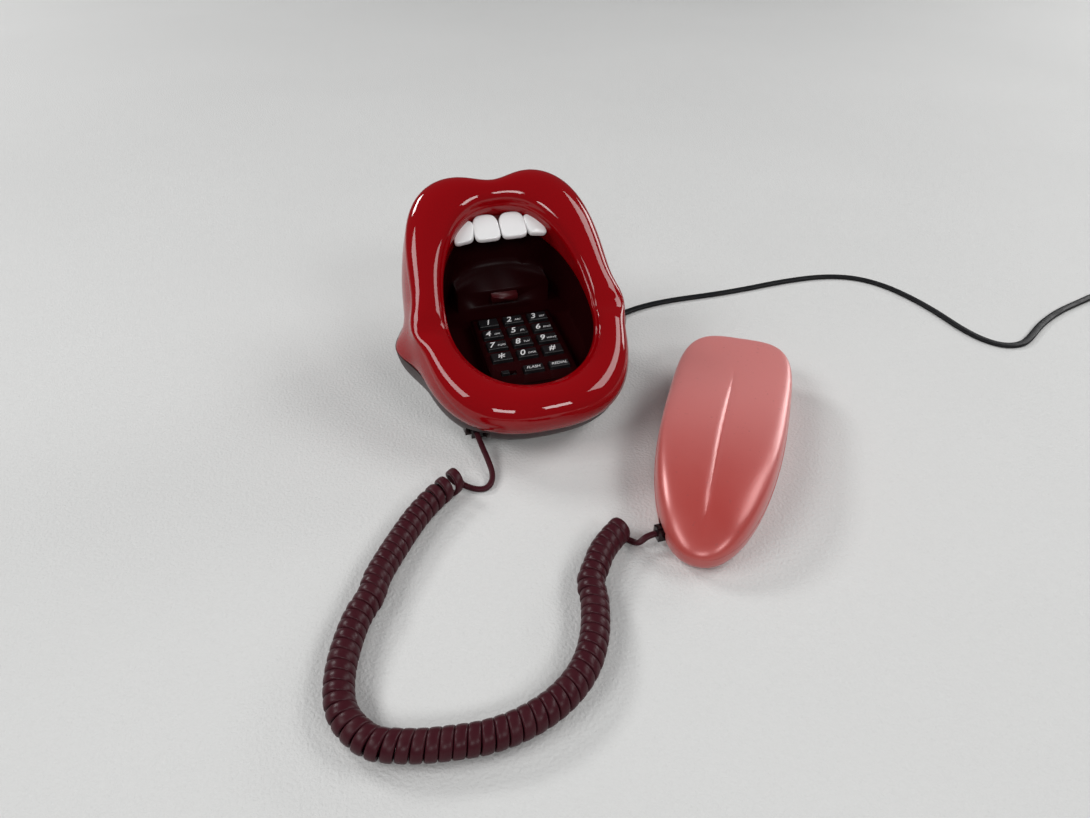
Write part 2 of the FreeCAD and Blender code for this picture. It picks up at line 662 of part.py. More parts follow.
def main_board():
    """Circuit board under the liner, with a hole for each of its screws."""
    board = primitive("Box", "board_sheet", {
        "Length": "2 * dims.board_half_width", "Width": "dims.board_front + dims.board_rear",
        "Height": "dims.board_thickness",
    }, at(-dim("board_half_width"), -dim("board_front"), BOARD_TOP - dim("board_thickness")))
    holes = []
    for index, (x, y) in enumerate(BOARD_POSTS):
        holes.append(primitive("Cylinder", f"board_hole_{index}", {
            "Radius": "(dims.board_screw_diameter + dims.screw_clearance) / 2",
            "Height": "3 * dims.board_thickness",
        }, at(x, y, BOARD_TOP - 2 * dim("board_thickness"))))
    drills = document.addObject("Part::MultiFuse", "board_holes")
    drills.Shapes = holes
    keep(boolean("Cut", "board", board, drills), "main_board", DECK)


def screw_set(label, prefix, places, shank):
    """Pan head screws as separate solids in one node; each place is the seat of a head, pointing up."""
    screws = []
    for index, place in enumerate(places):
        head = primitive("Cylinder", f"{label}_head_{index}", {
            "Radius": f"dims.{prefix}_head / 2", "Height": f"dims.{prefix}_head_height",
        }, at(0, 0, -dim(f"{prefix}_head_height")))
        thread = primitive("Cylinder", f"{label}_thread_{index}", {
            "Radius": f"dims.{prefix}_diameter / 2",
        }, at())
        thread.Height = shank
        screw = boolean("Fuse", f"{label}_{index}", head, thread)
        screw.Placement = place
        screws.append(screw)
    group = document.addObject("Part::Compound", label)
    group.Links = screws
    keep(group, label)


# Pieces on the tray floor

def rubber_feet():
    """Four round feet under the tray, drawn in at the floor."""
    feet = []
    places = [(side * dim("foot_x"), dim(y)) for y in ("foot_front_y", "foot_rear_y") for side in (-1, 1)]
    for index, (x, y) in enumerate(places):
        feet.append(primitive("Cone", f"foot_{index}", {
            "Radius1": "dims.foot_tread / 2", "Radius2": "dims.foot_diameter / 2",
            "Height": "dims.foot_height",
        }, at(x, y, 0)))
    group = document.addObject("Part::Compound", "feet")
    group.Links = feet
    keep(group, "rubber_feet")


def ballast_plate():
    """Steel weight with rounded corners on the tray floor."""
    body = new_body("ballast_plate", at(0, dim("ballast_y"), TRAY_FLOOR_TOP))
    outline = rectangle(body, "ballast", "dims.ballast_length", "dims.ballast_depth")
    plate = pad(body, outline, "dims.ballast_thickness")
    document.recompute()
    upright = [
        f"Edge{i}" for i, edge in enumerate(plate.Shape.Edges, start=1)
        if edge.BoundBox.ZLength > dim("ballast_thickness") / 2
    ]
    corners = body.newObject("PartDesign::Fillet", "ballast_corners")
    corners.Base = (plate, upright)
    corners.setExpression("Radius", "dims.ballast_thickness")


def ringer_disc():
    """Ringer: a shallow drum over the slots, with a smaller hole in its top."""
    body = new_body("ringer_disc", at(0, dim("ringer_y"), TRAY_FLOOR_TOP))
    pad(body, circle(body, "ringer_outline", "dims.ringer_diameter"), "dims.ringer_thickness")
    mouth = circle(body, "ringer_mouth", "dims.ringer_diameter / 4", "dims.ringer_thickness")
    pocket(body, mouth, "dims.ringer_thickness / 2")


def jack_shape(length):
    """Modular jack with its front at the origin, opening towards -Y, standing on z = 0."""
    half, tall = dim("jack_width") / 2, dim("jack_height")
    gap = dim("plug_gap")
    middle = tall / 2
    bore_x, bore_z = dim("plug_width") / 2 + gap, dim("plug_height") / 2 + gap
    body = block((-half, half), (0, length), (0, tall))
    bore = block((-bore_x, bore_x), (-1, dim("plug_depth") + gap), (middle - bore_z, middle + bore_z))
    latch = block((-bore_x / 2, bore_x / 2), (-1, dim("plug_depth") / 2), (middle, middle + bore_z + 1))
    return body.cut(bore).cut(latch)


def plug_shape():
    """Modular plug: its nose goes plug_depth into the jack, and the cord leaves its tail at -Y."""
    half, tall = dim("plug_width") / 2, dim("plug_height") / 2
    tail = dim("plug_length") - dim("plug_depth")
    nose = block((-half, half), (-tail, dim("plug_depth")), (-tall, tall))
    latch_top = tall + dim("latch_rise")
    latch = block((-half / 3, half / 3), (-tail, dim("plug_depth") / 3), (tall / 2, latch_top))
    return nose.fuse(latch).removeSplitter()


BASE_JACK = at(dim("base_jack_x"), BASE_JACK_FRONT, TRAY_FLOOR_TOP)
HAND_JACK_LOW = dim("hand_wall")
HAND_JACK = at(dim("hand_jack_x"), dim("hand_jack_y"), HAND_JACK_LOW, Rotation(Vector(0, 0, 1), -90))


def plug_place(jack):
    """Place of a plug seated in a jack."""
    return jack.multiply(at(0, 0, dim("jack_height") / 2))


# Handset, in its own frame: +Y towards the ear end

HAND = at(dim("hand_x"), dim("hand_y"), 0, Rotation(Vector(0, 0, 1), dim("hand_turn")))


def hand_outline(angle):
    """Tongue outline: a boxy ear end and a long oval tip."""
    end = "ear" if math.sin(angle) > 0 else "tip"
    power, reach = 2 / dim(f"{end}_power"), dim(f"hand_{end}")
    x = dim("hand_half_width") * math.copysign(abs(math.cos(angle)) ** power, math.cos(angle))
    y = dim("hand_centre") + reach * math.copysign(abs(math.sin(angle)) ** power, math.sin(angle))
    return Vector(x, y, 0)


def hand_parting(y):
    """Height of the slanted parting plane of the two shells."""
    return dim("hand_parting") + y * math.tan(math.radians(dim("parting_slope")))


def hand_crown(y):
    """Height of the plane that the crown of the upper shell touches."""
    return dim("hand_height") - y * math.tan(math.radians(dim("hand_fall")))


def hand_point(angle, share, inset):
    """Point between the ring of the crown (share 0) and the outline (share 1), at z = 0."""
    crown = Vector(dim("crown_half_width") * math.cos(angle),
                   dim("crown_centre") + dim("crown_half_length") * math.sin(angle), 0)
    reach = hand_outline(angle) - crown
    return crown + reach * ((reach.Length - inset) / reach.Length * share)


def hand_top_profile(angle, inset):
    """Section of the upper shell from the parting plane over its rolled edge up to the crown."""
    power = 2 / dim("crown_power")
    points = []
    for turn in range(0, 91, 6):
        slope = math.radians(turn)
        point = hand_point(angle, math.cos(slope) ** power, inset + dim("hand_ledge"))
        low, high = hand_parting(point.y), hand_crown(point.y) - inset
        points.append(point + Vector(0, 0, low + (high - low) * math.sin(slope) ** power))
    return points


def hand_bottom_profile(angle, inset):
    """Section of the lower shell from the parting plane down to its flat underside."""
    share = dim("hand_base_share")
    points = []
    for turn in range(0, 91, 10):
        slope = math.radians(turn)
        point = hand_point(angle, share + (1 - share) * math.cos(slope), inset)
        level = hand_parting(point.y)
        points.append(point + Vector(0, 0, level - (level - inset) * math.sin(slope)))
    return points


def crease_wheel(extra):
    """Wheel with a sharp rim that presses the crease into the crown; extra adds to its radius."""
    depth, slope = dim("crease_depth"), math.tan(math.radians(dim("crease_slope")))
    radius = dim("crease_half_length") ** 2 / (2 * depth)
    half = 2 * (depth + extra) / slope
    hub = Vector(0, dim("crease_centre"), hand_crown(dim("crease_centre")))
    fall = math.radians(dim("hand_fall"))
    hub += Vector(0, math.sin(fall), math.cos(fall)) * (radius - depth)
    sides = [
        Part.makeCone(radius + extra, radius + extra - half * slope, half, hub, Vector(side, 0, 0))
        for side in (-1, 1)
    ]
    return sides[0].fuse(sides[1])


HAND_SCREWS = [(0.0, dim("hand_screw_rear")), (0.0, dim("hand_screw_front"))]


def hand_shells():
    """Upper and lower shell of the handset, with screw posts, capsule cups and sound holes."""
    wall = dim("hand_wall")
    radius = dim("post_diameter") / 2
    pilot = (dim("board_screw_diameter") + dim("screw_clearance")) / 2
    recess = dim("board_screw_head") / 2 + dim("screw_clearance")
    outside, rim, crown = skin_of(lambda angle: hand_top_profile(angle, 0), 9)
    inside, inner_rim, inner_crown = skin_of(lambda angle: hand_top_profile(angle, wall), 9)
    flats = [Part.Face(crown), Part.Face(inner_crown)]
    top = closed_solid([outside, inside] + flats + annulus(rim, inner_rim))
    upper_room = closed_solid([outside, Part.Face(rim), Part.Face(crown)])
    outside, rim, foot = skin_of(lambda angle: hand_bottom_profile(angle, 0), 5)
    inside, inner_rim, inner_foot = skin_of(lambda angle: hand_bottom_profile(angle, wall), 5)
    flats = [Part.Face(foot), Part.Face(inner_foot)]
    bottom = closed_solid([outside, inside] + flats + annulus(rim, inner_rim))
    lower_room = closed_solid([outside, Part.Face(rim), Part.Face(foot)])
    top = top.fuse(crease_wheel(wall).common(upper_room)).cut(crease_wheel(0))
    for x, y in HAND_SCREWS:
        under_crease = hand_crown(y) - dim("crease_depth") - wall / 2
        top = top.fuse(rod(radius, x, y, 0, under_crease).common(upper_room))
        bottom = bottom.fuse(rod(radius, x, y, wall / 2, FAR).common(lower_room))
    for x, y in HAND_SCREWS:
        parting = hand_parting(y)
        top = top.cut(rod(pilot, x, y, 0, parting + dim("hand_screw_grip") + 1))
        bottom = bottom.cut(rod(pilot, x, y, -1, FAR))
        bottom = bottom.cut(rod(recess, x, y, -1, parting - dim("post_end")))
    for y, size, count in (
        (dim("receiver_y"), dim("receiver_diameter") / 2, 8),
        (dim("microphone_y"), dim("microphone_diameter") / 2 + dim("boot_wall"), 5),
    ):
        inner = size + dim("key_gap")
        cup = rod(inner + dim("cup_wall"), 0, y, wall / 2, wall + dim("gasket_thickness") + 4)
        bottom = bottom.fuse(cup.cut(rod(inner, 0, y, wall, wall + 20)))
        bottom = bottom.cut(rod(dim("sound_hole") / 2, 0, y, -1, wall + 1))
        for step in range(count):
            turn = 2 * math.pi * step / count
            x, spot = size / 2 * math.cos(turn), y + size / 2 * math.sin(turn)
            bottom = bottom.cut(rod(dim("sound_hole") / 2, x, spot, -1, wall + 1))
    half = dim("jack_width") / 2 + dim("key_gap")
    slot_end = dim("hand_jack_length") + dim("key_gap")
    slot = block((-half, half), (-2 * slot_end, slot_end), (0, dim("hand_height")))
    bottom = bottom.cut(placed(slot, HAND.inverse().multiply(HAND_JACK)))
    return top, bottom


def capsules():
    """Receiver on its gasket, and microphone in its boot, seated in the lower shell."""
    wall, gasket = dim("hand_wall"), dim("gasket_thickness")
    ring = primitive("Cylinder", "gasket_outer", {
        "Radius": "dims.receiver_diameter / 2", "Height": "dims.gasket_thickness",
    }, at())
    hole = primitive("Cylinder", "gasket_hole", {
        "Radius": "dims.gasket_hole / 2", "Height": "dims.gasket_thickness",
    }, at())
    place = HAND.multiply(at(0, dim("receiver_y"), wall))
    keep(boolean("Cut", "gasket", ring, hole), "receiver_gasket", place)
    receiver = new_body("receiver_capsule", HAND.multiply(at(0, dim("receiver_y"), wall + gasket)))
    pad(receiver, circle(receiver, "receiver_drum", "dims.receiver_diameter"), "dims.receiver_height / 2")
    magnet = circle(receiver, "receiver_magnet", "dims.receiver_magnet", "dims.receiver_height / 2")
    pad(receiver, magnet, "dims.receiver_height / 2")
    boot = new_body("microphone_boot", HAND.multiply(at(0, dim("microphone_y"), wall)))
    pad(boot, circle(boot, "boot_outline", "dims.microphone_diameter + 2 * dims.boot_wall"),
        "dims.microphone_height + dims.boot_wall")
    level = "dims.microphone_height + dims.boot_wall"
    pocket(boot, circle(boot, "boot_bore", "dims.microphone_diameter", level), "dims.microphone_height")
    pocket(boot, circle(boot, "boot_port", "dims.sound_hole", level), level)
    place = HAND.multiply(at(0, dim("microphone_y"), wall + dim("boot_wall")))
    microphone = new_body("microphone_capsule", place)
    can = circle(microphone, "microphone_can", "dims.microphone_diameter")
    pad(microphone, can, "dims.microphone_height")


# Teeth

def tooth_shape(width):
    """Plain tooth standing on y = 0, with round top corners and a soft front edge."""
    tall, thick = dim("tooth_length"), dim("tooth_thickness")
    tooth = block((-width / 2, width / 2), (0, tall), (0, thick))
    for height, size in ((tall, "tooth_crown"), (0, "tooth_corner")):
        across = [edge for edge in tooth.Edges if abs(edge.BoundBox.ZLength - thick) < 1e-6]
        corners = [edge for edge in across if abs(edge.BoundBox.YMin - height) < 1e-6]
        tooth = tooth.makeFillet(dim(size), corners)
    front = [edge for edge in tooth.Edges if all(abs(vertex.Z - thick) < 1e-6 for vertex in edge.Vertexes)]
    return tooth.makeFillet(dim("tooth_round"), front)


def upper_teeth():
    """Four plain teeth on one arched bar, trimmed to the opening of the lips."""
    frame = Placement(MOUTH_CENTRE, Rotation(Vector(1, 0, 0), dim("mouth_tilt")))
    edge, tall, thick = dim("tooth_edge"), dim("tooth_length"), dim("tooth_thickness")
    jaw = None
    reach = 0.0
    for order, size in enumerate(("front_tooth", "side_tooth")):
        wide = dim(size)
        for side in (-1, 1):
            middle = side * (reach + wide / 2)
            turn = Rotation(Vector(0, 1, 0), side * dim("tooth_turn") * order)
            level = -dim("tooth_level") - thick - (abs(middle) / dim("tooth_arch")) ** 2
            place = at(middle, edge + dim("tooth_drop") * order, level, turn)
            tooth = placed(tooth_shape(wide - dim("tooth_space")), place)
            jaw = tooth if jaw is None else jaw.fuse(tooth)
        reach += wide * math.cos(math.radians(dim("tooth_turn") * order))
    bar_top = -dim("tooth_level") - thick / 2
    bar_edge = edge + tall * (1 - dim("gum_share"))
    bar = block((-reach, reach), (bar_edge, dim("opening_rise")), (bar_top - thick, bar_top))
    jaw = jaw.fuse(bar)
    outline = [opening_radius(angle) - dim("tooth_gap") for angle in RING]
    poles = [Vector(r * math.cos(a), r * math.sin(a), 0) for r, a in zip(outline, RING)]
    curve = Part.BSplineCurve()
    curve.buildFromPolesMultsKnots(poles, [1] * (RING_POINTS + 1), list(range(RING_POINTS + 1)), True, 3)
    prism = Part.Face(Part.Wire([curve.toShape()])).extrude(Vector(0, 0, -FAR))
    return placed(jaw.common(prism), frame)


# Cords

# Share of the shorter run at each bend that its arc takes up
ARC_SHARE = 0.45
# Step between the points that are compared for a cord's gap to itself
GAP_STEP = 1.5


def tangent_wire(points):
    """Straight runs joined by tangent arcs as large as the runs allow, with the radii of the arcs."""
    edges, radii = [], []
    last = points[0]
    for before, here, after in zip(points, points[1:], points[2:]):
        arrive, leave = (here - before).normalize(), (after - here).normalize()
        half_turn = arrive.getAngle(leave) / 2
        cut = ARC_SHARE * min((here - before).Length, (after - here).Length)
        radii.append(cut / math.tan(half_turn))
        start, end = here - arrive * cut, here + leave * cut
        inward = (leave - arrive).normalize()
        middle = here + inward * (radii[-1] / math.cos(half_turn) - radii[-1])
        edges.append(Part.LineSegment(last, start).toShape())
        edges.append(Part.Arc(start, middle, end).toShape())
        last = end
    edges.append(Part.LineSegment(last, points[-1]).toShape())
    return Part.Wire(edges), radii


def biarc(start, start_way, end, end_way):
    """Two tangent arcs from one point and direction to another."""
    chord = end - start
    both = start_way + end_way
    along = chord.dot(both)
    spread = 4 - both.dot(both)
    if abs(spread) < 1e-9:
        reach = chord.dot(chord) / (2 * along)
    else:
        reach = (-along + math.sqrt(along ** 2 + spread * chord.dot(chord))) / spread
    joint = (start + start_way * reach + end - end_way * reach) * 0.5
    return [arc_edge(start, start + start_way * reach, joint), arc_edge(joint, end - end_way * reach, end)]


def arc_edge(start, peak, end):
    """Arc between two points whose tangents meet at the peak."""
    middle = (start + end) * 0.5
    rise = peak - middle
    half = (end - start).Length / 2
    if rise.Length < 1e-6:
        return Part.LineSegment(start, end).toShape()
    slope = math.atan2(rise.Length, half)
    return Part.Arc(start, middle + rise * (half * math.tan(slope / 2) / rise.Length), end).toShape()


def tube_along(wire, profile):
    """Solid swept along a wire."""
    sweep = Part.BRepOffsetAPI.MakePipeShell(wire)
    sweep.add(profile)
    sweep.build()
    sweep.makeSolid()
    return sweep.shape()


def least_gap(path, apart):
    """Least distance between points of a path that lie further apart along it than a given length."""
    points = path.discretize(Distance=GAP_STEP)
    skip = int(apart / GAP_STEP) + 1
    best = path.Length
    for index, point in enumerate(points):
        for other in points[index + skip:]:
            best = min(best, point.distanceToPoint(other))
    return best


def round_profile(point, way, diameter):
    """Circle square to the start of a path."""
    return Part.Wire([Part.Circle(point, way, diameter / 2).toShape()])


def quadratic(points):
    """Smooth line with the points as its poles."""
    curve = Part.BSplineCurve()
    spans = len(points) - 2
    curve.buildFromPolesMultsKnots(points, [3] + [1] * (spans - 1) + [3], list(range(spans + 1)), False, 2)
    return curve


# Middle line of the curls on the table, from the base to the handset
CURL_ROUTE = [
    (-54, -88), (-68, -98), (-82, -112), (-95, -130), (-107, -148), (-117, -166), (-125, -184),
    (-130, -202), (-130, -218), (-121, -231), (-107, -238), (-92, -241), (-76, -243), (-60, -241),
    (-44, -235), (-30, -224), (-20, -208), (-14, -190), (-8, -173), (1, -159), (14, -150),
]


def curly_cord():
    """One wire from plug to plug: a straight lead, the curls and another lead."""
    height, wire = dim("curl_height"), dim("curl_wire")
    radius = (dim("curl_diameter") - wire) / 2
    line = quadratic([Vector(x, y, height) for x, y in CURL_ROUTE])
    length = line.length()
    turns = round(length / dim("curl_pitch"))
    points, ways = [], []
    for step in range(4 * turns + 1):
        spot = line.parameterAtDistance(length * step / (4 * turns))
        middle, way = line.value(spot), line.tangent(spot)[0]
        side = Vector(-way.y, way.x, 0)
        turn = -math.pi / 2 - step * math.pi / 2
        across = side * math.cos(turn) + Vector(0, 0, math.sin(turn))
        round_way = side * math.sin(turn) - Vector(0, 0, math.cos(turn))
        points.append(middle + across * radius)
        ways.append((round_way * (2 * math.pi * radius) + way * (length / turns)).normalize())
    tail = dim("plug_length") - dim("plug_depth")
    base_end = plug_place(BASE_JACK).multVec(Vector(0, -tail, 0))
    hand_end = plug_place(HAND_JACK).multVec(Vector(0, -tail, 0))
    base_way, hand_way = Vector(0, -1, 0), Vector(1, 0, 0)
    first, last = base_end + base_way * wire, hand_end - hand_way * wire
    edges = [Part.LineSegment(base_end, first).toShape()]
    edges += biarc(first, base_way, points[0], ways[0])
    for start, start_way, end, end_way in zip(points, ways, points[1:], ways[1:]):
        edges += biarc(start, start_way, end, end_way)
    edges += biarc(points[-1], ways[-1], last, hand_way)
    edges.append(Part.LineSegment(last, hand_end).toShape())
    path = Part.Wire(edges)
    gap = least_gap(path, 2 * math.pi * radius / 2) - wire
    print(f"curly cord: {turns} curls, wire length {path.Length:.0f}, least gap to itself {gap:.2f}")
    return tube_along(path, round_profile(base_end, base_way, wire))


GROMMET_TURN = Rotation(Vector(0, 0, 1), dim("grommet_turn"))
GROMMET = Placement(
    GROMMET_TURN.multVec(Vector(dim("grommet_reach"), 0, 0)) + Vector(0, 0, dim("line_exit")), GROMMET_TURN,
)


def oblong(width, height, radius):
    """Rounded rectangle in the YZ plane at x = 0."""
    half_y, half_z = width / 2 - radius, height / 2 - radius
    corners = ((1, 1), (-1, 1), (-1, -1), (1, -1))
    middles = [Vector(0, half_y * y, half_z * z) for y, z in corners]
    edges = []
    for index, middle in enumerate(middles):
        turns = [math.radians(90 * index + part) for part in (0, 45, 90)]
        spots = [middle + Vector(0, math.cos(turn), math.sin(turn)) * radius for turn in turns]
        edges.append(Part.Arc(*spots).toShape())
    for index in range(4):
        first, second = edges[index], edges[(index + 1) % 4]
        gap_start, gap_end = first.Vertexes[-1].Point, second.Vertexes[0].Point
        if gap_start.distanceToPoint(gap_end) > 1e-6:
            edges.append(Part.LineSegment(gap_start, gap_end).toShape())
    return Part.Wire(Part.__sortEdges__(edges))


def grommet_body(length):
    """Oblong block for the grommet, along X and centred on the origin."""
    wall = dim("grommet_wall")
    width, height = dim("line_width") + 2 * wall, dim("line_thickness") + 2 * wall
    outline = oblong(width, height, dim("line_thickness") / 2)
    prism = Part.Face(outline).extrude(Vector(length, 0, 0))
    prism.translate(Vector(-length / 2, 0, 0))
    return prism


def line_cord_grommet():
    """Strain relief in the tray wall with the cord's bore."""
    body = grommet_body(dim("grommet_length"))
    gap = dim("plug_gap")
    bore = Part.Face(oblong(dim("line_width") + gap, dim("line_thickness") + gap, dim("line_round")))
    prism = bore.extrude(Vector(dim("grommet_length"), 0, 0))
    return body.cut(prism)


# Middle line of the free line cord, from the tray towards the coil: x, y and height above the lying cord
LINE_ROUTE = [
    (60.2, 37.6, 7.4), (68, 42.6, 5.4), (80, 51, 1.2), (95, 60, 0), (114, 66, 0), (138, 68.5, 0),
    (166, 67.5, 0), (195, 68, 0), (228, 71, 0), (262, 70.5, 0), (286, 62, 0), (301, 44, 0), (309, 20, 0),
    (313, -5, 0), (314, -26, 0), (317.5, -43, 0), (325.5, -55, 0), (338.5, -58, 0), (351.5, -52, 0),
    (371, -39.5, 0), (397, -28, 0), (423, -21, 0), (444, -15.5, 0.3),
]
COIL_ENTRY = (474.0, -12.5)
COIL_LOW = dim("line_thickness") / 2 + dim("tie_thickness") + dim("tie_gap")


def coil_point(progress):
    """Point of the put-away coil after some turns: spiral in, climb a layer, spiral out."""
    turns = dim("coil_turns")
    radius = dim("coil_outer") - dim("coil_step") * min(progress, 2 * turns - progress)
    climb = min(max((progress - turns + 0.25) / 0.5, 0.0), 1.0)
    turn = math.pi / 2 - progress * 2 * math.pi
    middle = Vector(COIL_ENTRY[0], COIL_ENTRY[1] - dim("coil_outer"), COIL_LOW)
    return middle + Vector(radius * math.cos(turn), radius * math.sin(turn), climb * dim("coil_layer"))


def coil_way(progress):
    """Direction of the coil, from a short step to each side."""
    step = 0.02
    last = 2 * dim("coil_turns")
    return (coil_point(min(progress + step, last)) - coil_point(max(progress - step, 0.0))).normalize()


def line_cord():
    """Flat cord lying on the table, from the grommet to the coil."""
    low = dim("line_thickness") / 2
    end = coil_point(0.0)
    points = [GROMMET.multVec(Vector(0, 0, 0))]
    points += [Vector(x, y, low + lift) for x, y, lift in LINE_ROUTE]
    points += [end - coil_way(0.0) * dim("coil_lead"), end]
    path, radii = tangent_wire(points)
    print("line cord radii:", " ".join(f"{radius:.0f}" for radius in radii), f"length {path.Length:.0f}")
    return tube_along(path, placed(line_profile(), GROMMET))


def line_profile():
    """Section of the flat cord."""
    return oblong(dim("line_width"), dim("line_thickness"), dim("line_round"))


LINE_PLUG = at(
    COIL_ENTRY[0] + dim("line_plug_lead"), COIL_ENTRY[1] + dim("line_plug_aside"),
    dim("line_plug_height") / 2, Rotation(Vector(0, 0, 1), -90),
)


def line_cord_coil():
    """The rest of the line cord, wound in two layers, with a short lead to its plug."""
    quarters = int(8 * dim("coil_turns"))
    spots = [coil_point(quarter / 4) for quarter in range(quarters + 1)]
    ways = [coil_way(quarter / 4) for quarter in range(quarters + 1)]
    edges = []
    for start, start_way, end, end_way in zip(spots, ways, spots[1:], ways[1:]):
        edges += biarc(start, start_way, end, end_way)
    plug_end, plug_way = LINE_PLUG.Base, Vector(1, 0, 0)
    lead = plug_end - plug_way * dim("line_width")
    edges += biarc(spots[-1], ways[-1], lead, plug_way)
    edges.append(Part.LineSegment(lead, plug_end).toShape())
    path = Part.Wire(edges)
    gap = least_gap(path, math.pi * dim("coil_outer")) - dim("line_thickness")
    print(f"line cord coil: length {path.Length:.0f}, least gap to itself {gap:.2f}")
    turn = math.atan2(ways[0].y, ways[0].x)
    start = Placement(spots[0], Rotation(Vector(0, 0, 1), math.degrees(turn)))
    return tube_along(path, placed(line_profile(), start))


def line_plug():
    """Modular line plug with its latch, lying flat on the table."""
    place = LINE_PLUG.multiply(at(0, dim("line_plug_length") / 2, -dim("line_plug_height") / 2))
    body = new_body("line_plug", place)
    shell = rectangle(body, "plug_shell", "dims.line_plug_width", "dims.line_plug_length")
    pad(body, shell, "dims.line_plug_height")
    latch = rectangle(body, "plug_latch", "dims.line_plug_width / 3", "dims.line_plug_length * 2 / 3",
                      "dims.line_plug_height")
    pad(body, latch, "dims.line_thickness / 2")


def cord_tie():
    """Flat tie round all the turns on the far side of the coil."""
    thick, gap = dim("tie_thickness"), dim("tie_gap")
    half_cord = dim("line_width") / 2
    half = dim("tie_width") / 2
    hole = dim("coil_outer") - dim("coil_step") * (dim("coil_turns") - 0.5) - half_cord
    inner = math.sqrt(hole ** 2 - half ** 2) - 2 * gap
    outer = dim("coil_outer") - dim("coil_step") * 0.5 + half_cord + gap
    low = COIL_LOW - dim("line_thickness") / 2 - gap
    high = COIL_LOW + dim("coil_layer") + dim("line_thickness") / 2 + gap
    band = block((-half, half), (-outer - thick, thick - inner), (low - thick, high + thick))
    band = band.cut(block((-half, half), (-outer, -inner), (low, high)))
    band.translate(Vector(COIL_ENTRY[0], COIL_ENTRY[1] - dim("coil_outer"), 0))
    return band


def save():
    """Check every object, then write one file per sub-part."""
    document.recompute()
    for item in document.Objects:
        if "Invalid" in item.State or "Error" in item.State:
            raise RuntimeError(f"{item.Label} failed: {item.State}")
    for item in subparts:
        if item.Shape.isNull() or not item.Shape.isValid():
            raise RuntimeError(f"{item.Label} has no valid shape")
    os.makedirs("parts", exist_ok=True)
    for item in subparts:
        item.Shape.exportStep(f"parts/{item.Label}.step")


feature("lips_shell", lips_shell())
feature("base_tray", base_tray())
feature("mouth_liner", mouth_liner())
feature("upper_teeth", upper_teeth())
keys()
mode_switch_knob()
hook_lever()
hook_switch()
key_mat()
main_board()
rubber_feet()
ballast_plate()
ringer_disc()
screw_set("case_screws", "case_screw", [at(x, y, rim_level(y) - dim("post_end")) for x, y in POSTS],
          dim("post_end") + dim("case_screw_grip"))
screw_set("board_screws", "board_screw",
          [deck_place(x, y, BOARD_TOP - dim("board_thickness")) for x, y in BOARD_POSTS],
          dim("board_thickness") + dim("board_gap") + dim("key_gap"))
feature("handset_jack", jack_shape(dim("jack_length")), BASE_JACK)
feature("cord_base_plug", plug_shape(), plug_place(BASE_JACK))
handset_top, handset_bottom = hand_shells()
feature("handset_top", handset_top, HAND)
feature("handset_bottom", handset_bottom, HAND)
capsules()
screw_set("handset_screws", "board_screw",
          [HAND.multiply(at(x, y, hand_parting(y) - dim("post_end"))) for x, y in HAND_SCREWS],
          dim("post_end") + dim("hand_screw_grip"))
feature("handset_cord_jack", jack_shape(dim("hand_jack_length")), HAND_JACK)
feature("cord_handset_plug", plug_shape(), plug_place(HAND_JACK))
feature("curly_cord", curly_cord())
feature("line_cord_grommet", line_cord_grommet(), GROMMET)
feature("line_cord", line_cord())
feature("line_cord_coil", line_cord_coil())
line_plug()
feature("cord_tie", cord_tie())
save()
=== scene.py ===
"""Dress the lips telephone: moulded shells, keypad legends, tongue handset, both cords, studio and camera.

Shapes are modelled in millimetres and scaled to metres when a piece is finished. X is to the right, the
front of the base is towards -Y, and the table is at z = 0.
"""

import bisect
import logging
import math
from dataclasses import dataclass, field
from enum import Enum
from typing import Sequence

import bmesh
import bpy
from mathutils import Matrix, Vector


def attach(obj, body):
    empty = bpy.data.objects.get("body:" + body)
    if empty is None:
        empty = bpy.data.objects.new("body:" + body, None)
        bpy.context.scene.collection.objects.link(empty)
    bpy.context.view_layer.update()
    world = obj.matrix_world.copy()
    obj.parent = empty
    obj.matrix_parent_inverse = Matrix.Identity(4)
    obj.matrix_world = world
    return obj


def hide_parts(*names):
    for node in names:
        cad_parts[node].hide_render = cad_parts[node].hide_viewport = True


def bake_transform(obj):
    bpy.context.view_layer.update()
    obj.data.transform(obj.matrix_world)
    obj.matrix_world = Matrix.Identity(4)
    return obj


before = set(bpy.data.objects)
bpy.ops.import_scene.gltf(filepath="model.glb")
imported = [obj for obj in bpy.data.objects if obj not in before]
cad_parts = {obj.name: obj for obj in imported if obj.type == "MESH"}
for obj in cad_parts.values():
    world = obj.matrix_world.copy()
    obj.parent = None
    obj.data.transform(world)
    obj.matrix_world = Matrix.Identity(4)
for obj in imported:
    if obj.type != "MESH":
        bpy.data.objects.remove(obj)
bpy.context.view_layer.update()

MM = 0.001
SAME_PLACE = 0.002
BASE = "base"
HANDSET = "handset"
HANDSET_HEADING = math.radians(-33.2)
LOG = logging.getLogger("lips_telephone")

Point = tuple[float, float, float]
Colour = tuple[float, float, float]


